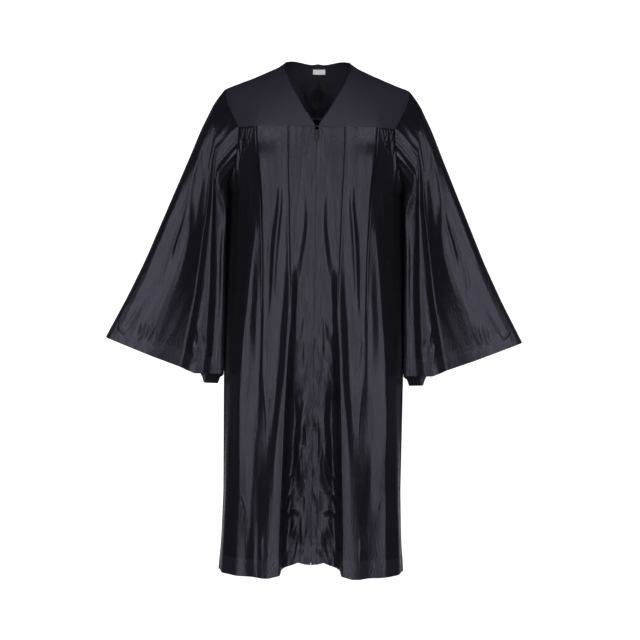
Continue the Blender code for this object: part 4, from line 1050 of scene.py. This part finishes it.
studio = {"light": 3.0, "lightAway": 4.7, "lightPower": 58.0, "lightHeight": -0.35,
          "strip": (0.55, 3.4), "stripTurn": 29, "stripPower": 100.0, "rearPower": 14.0,
          "world": (0.10, 0.095, 0.12), "white": 1.0}


def cove():
    profile = [(0.01, -1.42), (2.0, -1.42), (4.0, -1.42), (5.2, -1.42)]
    profile += [(5.2 + 1.2 * math.sin(math.radians(turn)), -0.22 - 1.2 * math.cos(math.radians(turn)))
                for turn in range(10, 91, 10)]
    profile += [(6.4, 1.5), (6.4, 4.2), (0.01, 6.4)]
    count = 48
    verts, faces = [], []
    for radius, height in profile:
        for step in range(count):
            turn = 2 * math.pi * step / count
            verts.append((radius * math.cos(turn), radius * math.sin(turn), height))
    for row in range(len(profile) - 1):
        for step in range(count):
            after = (step + 1) % count
            faces.append((row * count + step, row * count + after,
                          (row + 1) * count + after, (row + 1) * count + step))
    data = bpy.data.meshes.new("cove")
    data.from_pydata(verts, [], faces)
    made = bpy.data.objects.new("cove", data)
    bpy.context.scene.collection.objects.link(made)
    data.shade_smooth()
    paint, tree, shader, wire = startMaterial("white cove")
    shader.inputs["Base Color"].default_value = (0.9, 0.9, 0.9, 1)
    shader.inputs["Emission Color"].default_value = (1, 1, 1, 1)
    shader.inputs["Emission Strength"].default_value = studio["white"]
    data.materials.append(paint)
    for way in ("visible_diffuse", "visible_glossy", "visible_transmission", "visible_shadow"):
        setattr(made, way, False)


cove()


def softbox(name, wide, tall, power, turn):
    lamp = bpy.data.lights.new(name, "AREA")
    lamp.shape = "RECTANGLE"
    lamp.size, lamp.size_y = wide, tall
    lamp.energy = power
    made = bpy.data.objects.new(name, lamp)
    turn = math.radians(turn)
    away = studio["lightAway"]
    made.location = (away * math.sin(turn), -away * math.cos(turn), studio["lightHeight"])
    made.rotation_euler = (math.radians(90), 0, turn)
    made.visible_camera = False
    bpy.context.scene.collection.objects.link(made)


softbox("softbox", studio["light"], studio["light"], studio["lightPower"], 0)
softbox("stripLeft", *studio["strip"], studio["stripPower"], -studio["stripTurn"])
softbox("stripRight", *studio["strip"], studio["stripPower"], studio["stripTurn"])
softbox("rear", studio["light"], studio["light"], studio["rearPower"], 180)

world = bpy.data.worlds.new("studio")
world.use_nodes = True
world.node_tree.nodes["Background"].inputs["Color"].default_value = (*studio["world"], 1)
world.node_tree.nodes["Background"].inputs["Strength"].default_value = 1.0
bpy.context.scene.world = world
bpy.context.scene.view_settings.view_transform = "Standard"

camera = {"away": 4.2, "span": 1.515, "side": 0.0135, "height": -0.5965, "roll": -0.80}
view = bpy.data.cameras.new("camera")
view.lens = 36 * camera["away"] / camera["span"]
view.sensor_width = 36
lens = bpy.data.objects.new("camera", view)
lens.location = (camera["side"], -camera["away"], camera["height"])
lens.rotation_euler = (math.radians(90), math.radians(camera["roll"]), 0)
bpy.context.scene.collection.objects.link(lens)
bpy.context.scene.camera = lens
print("studio and camera")
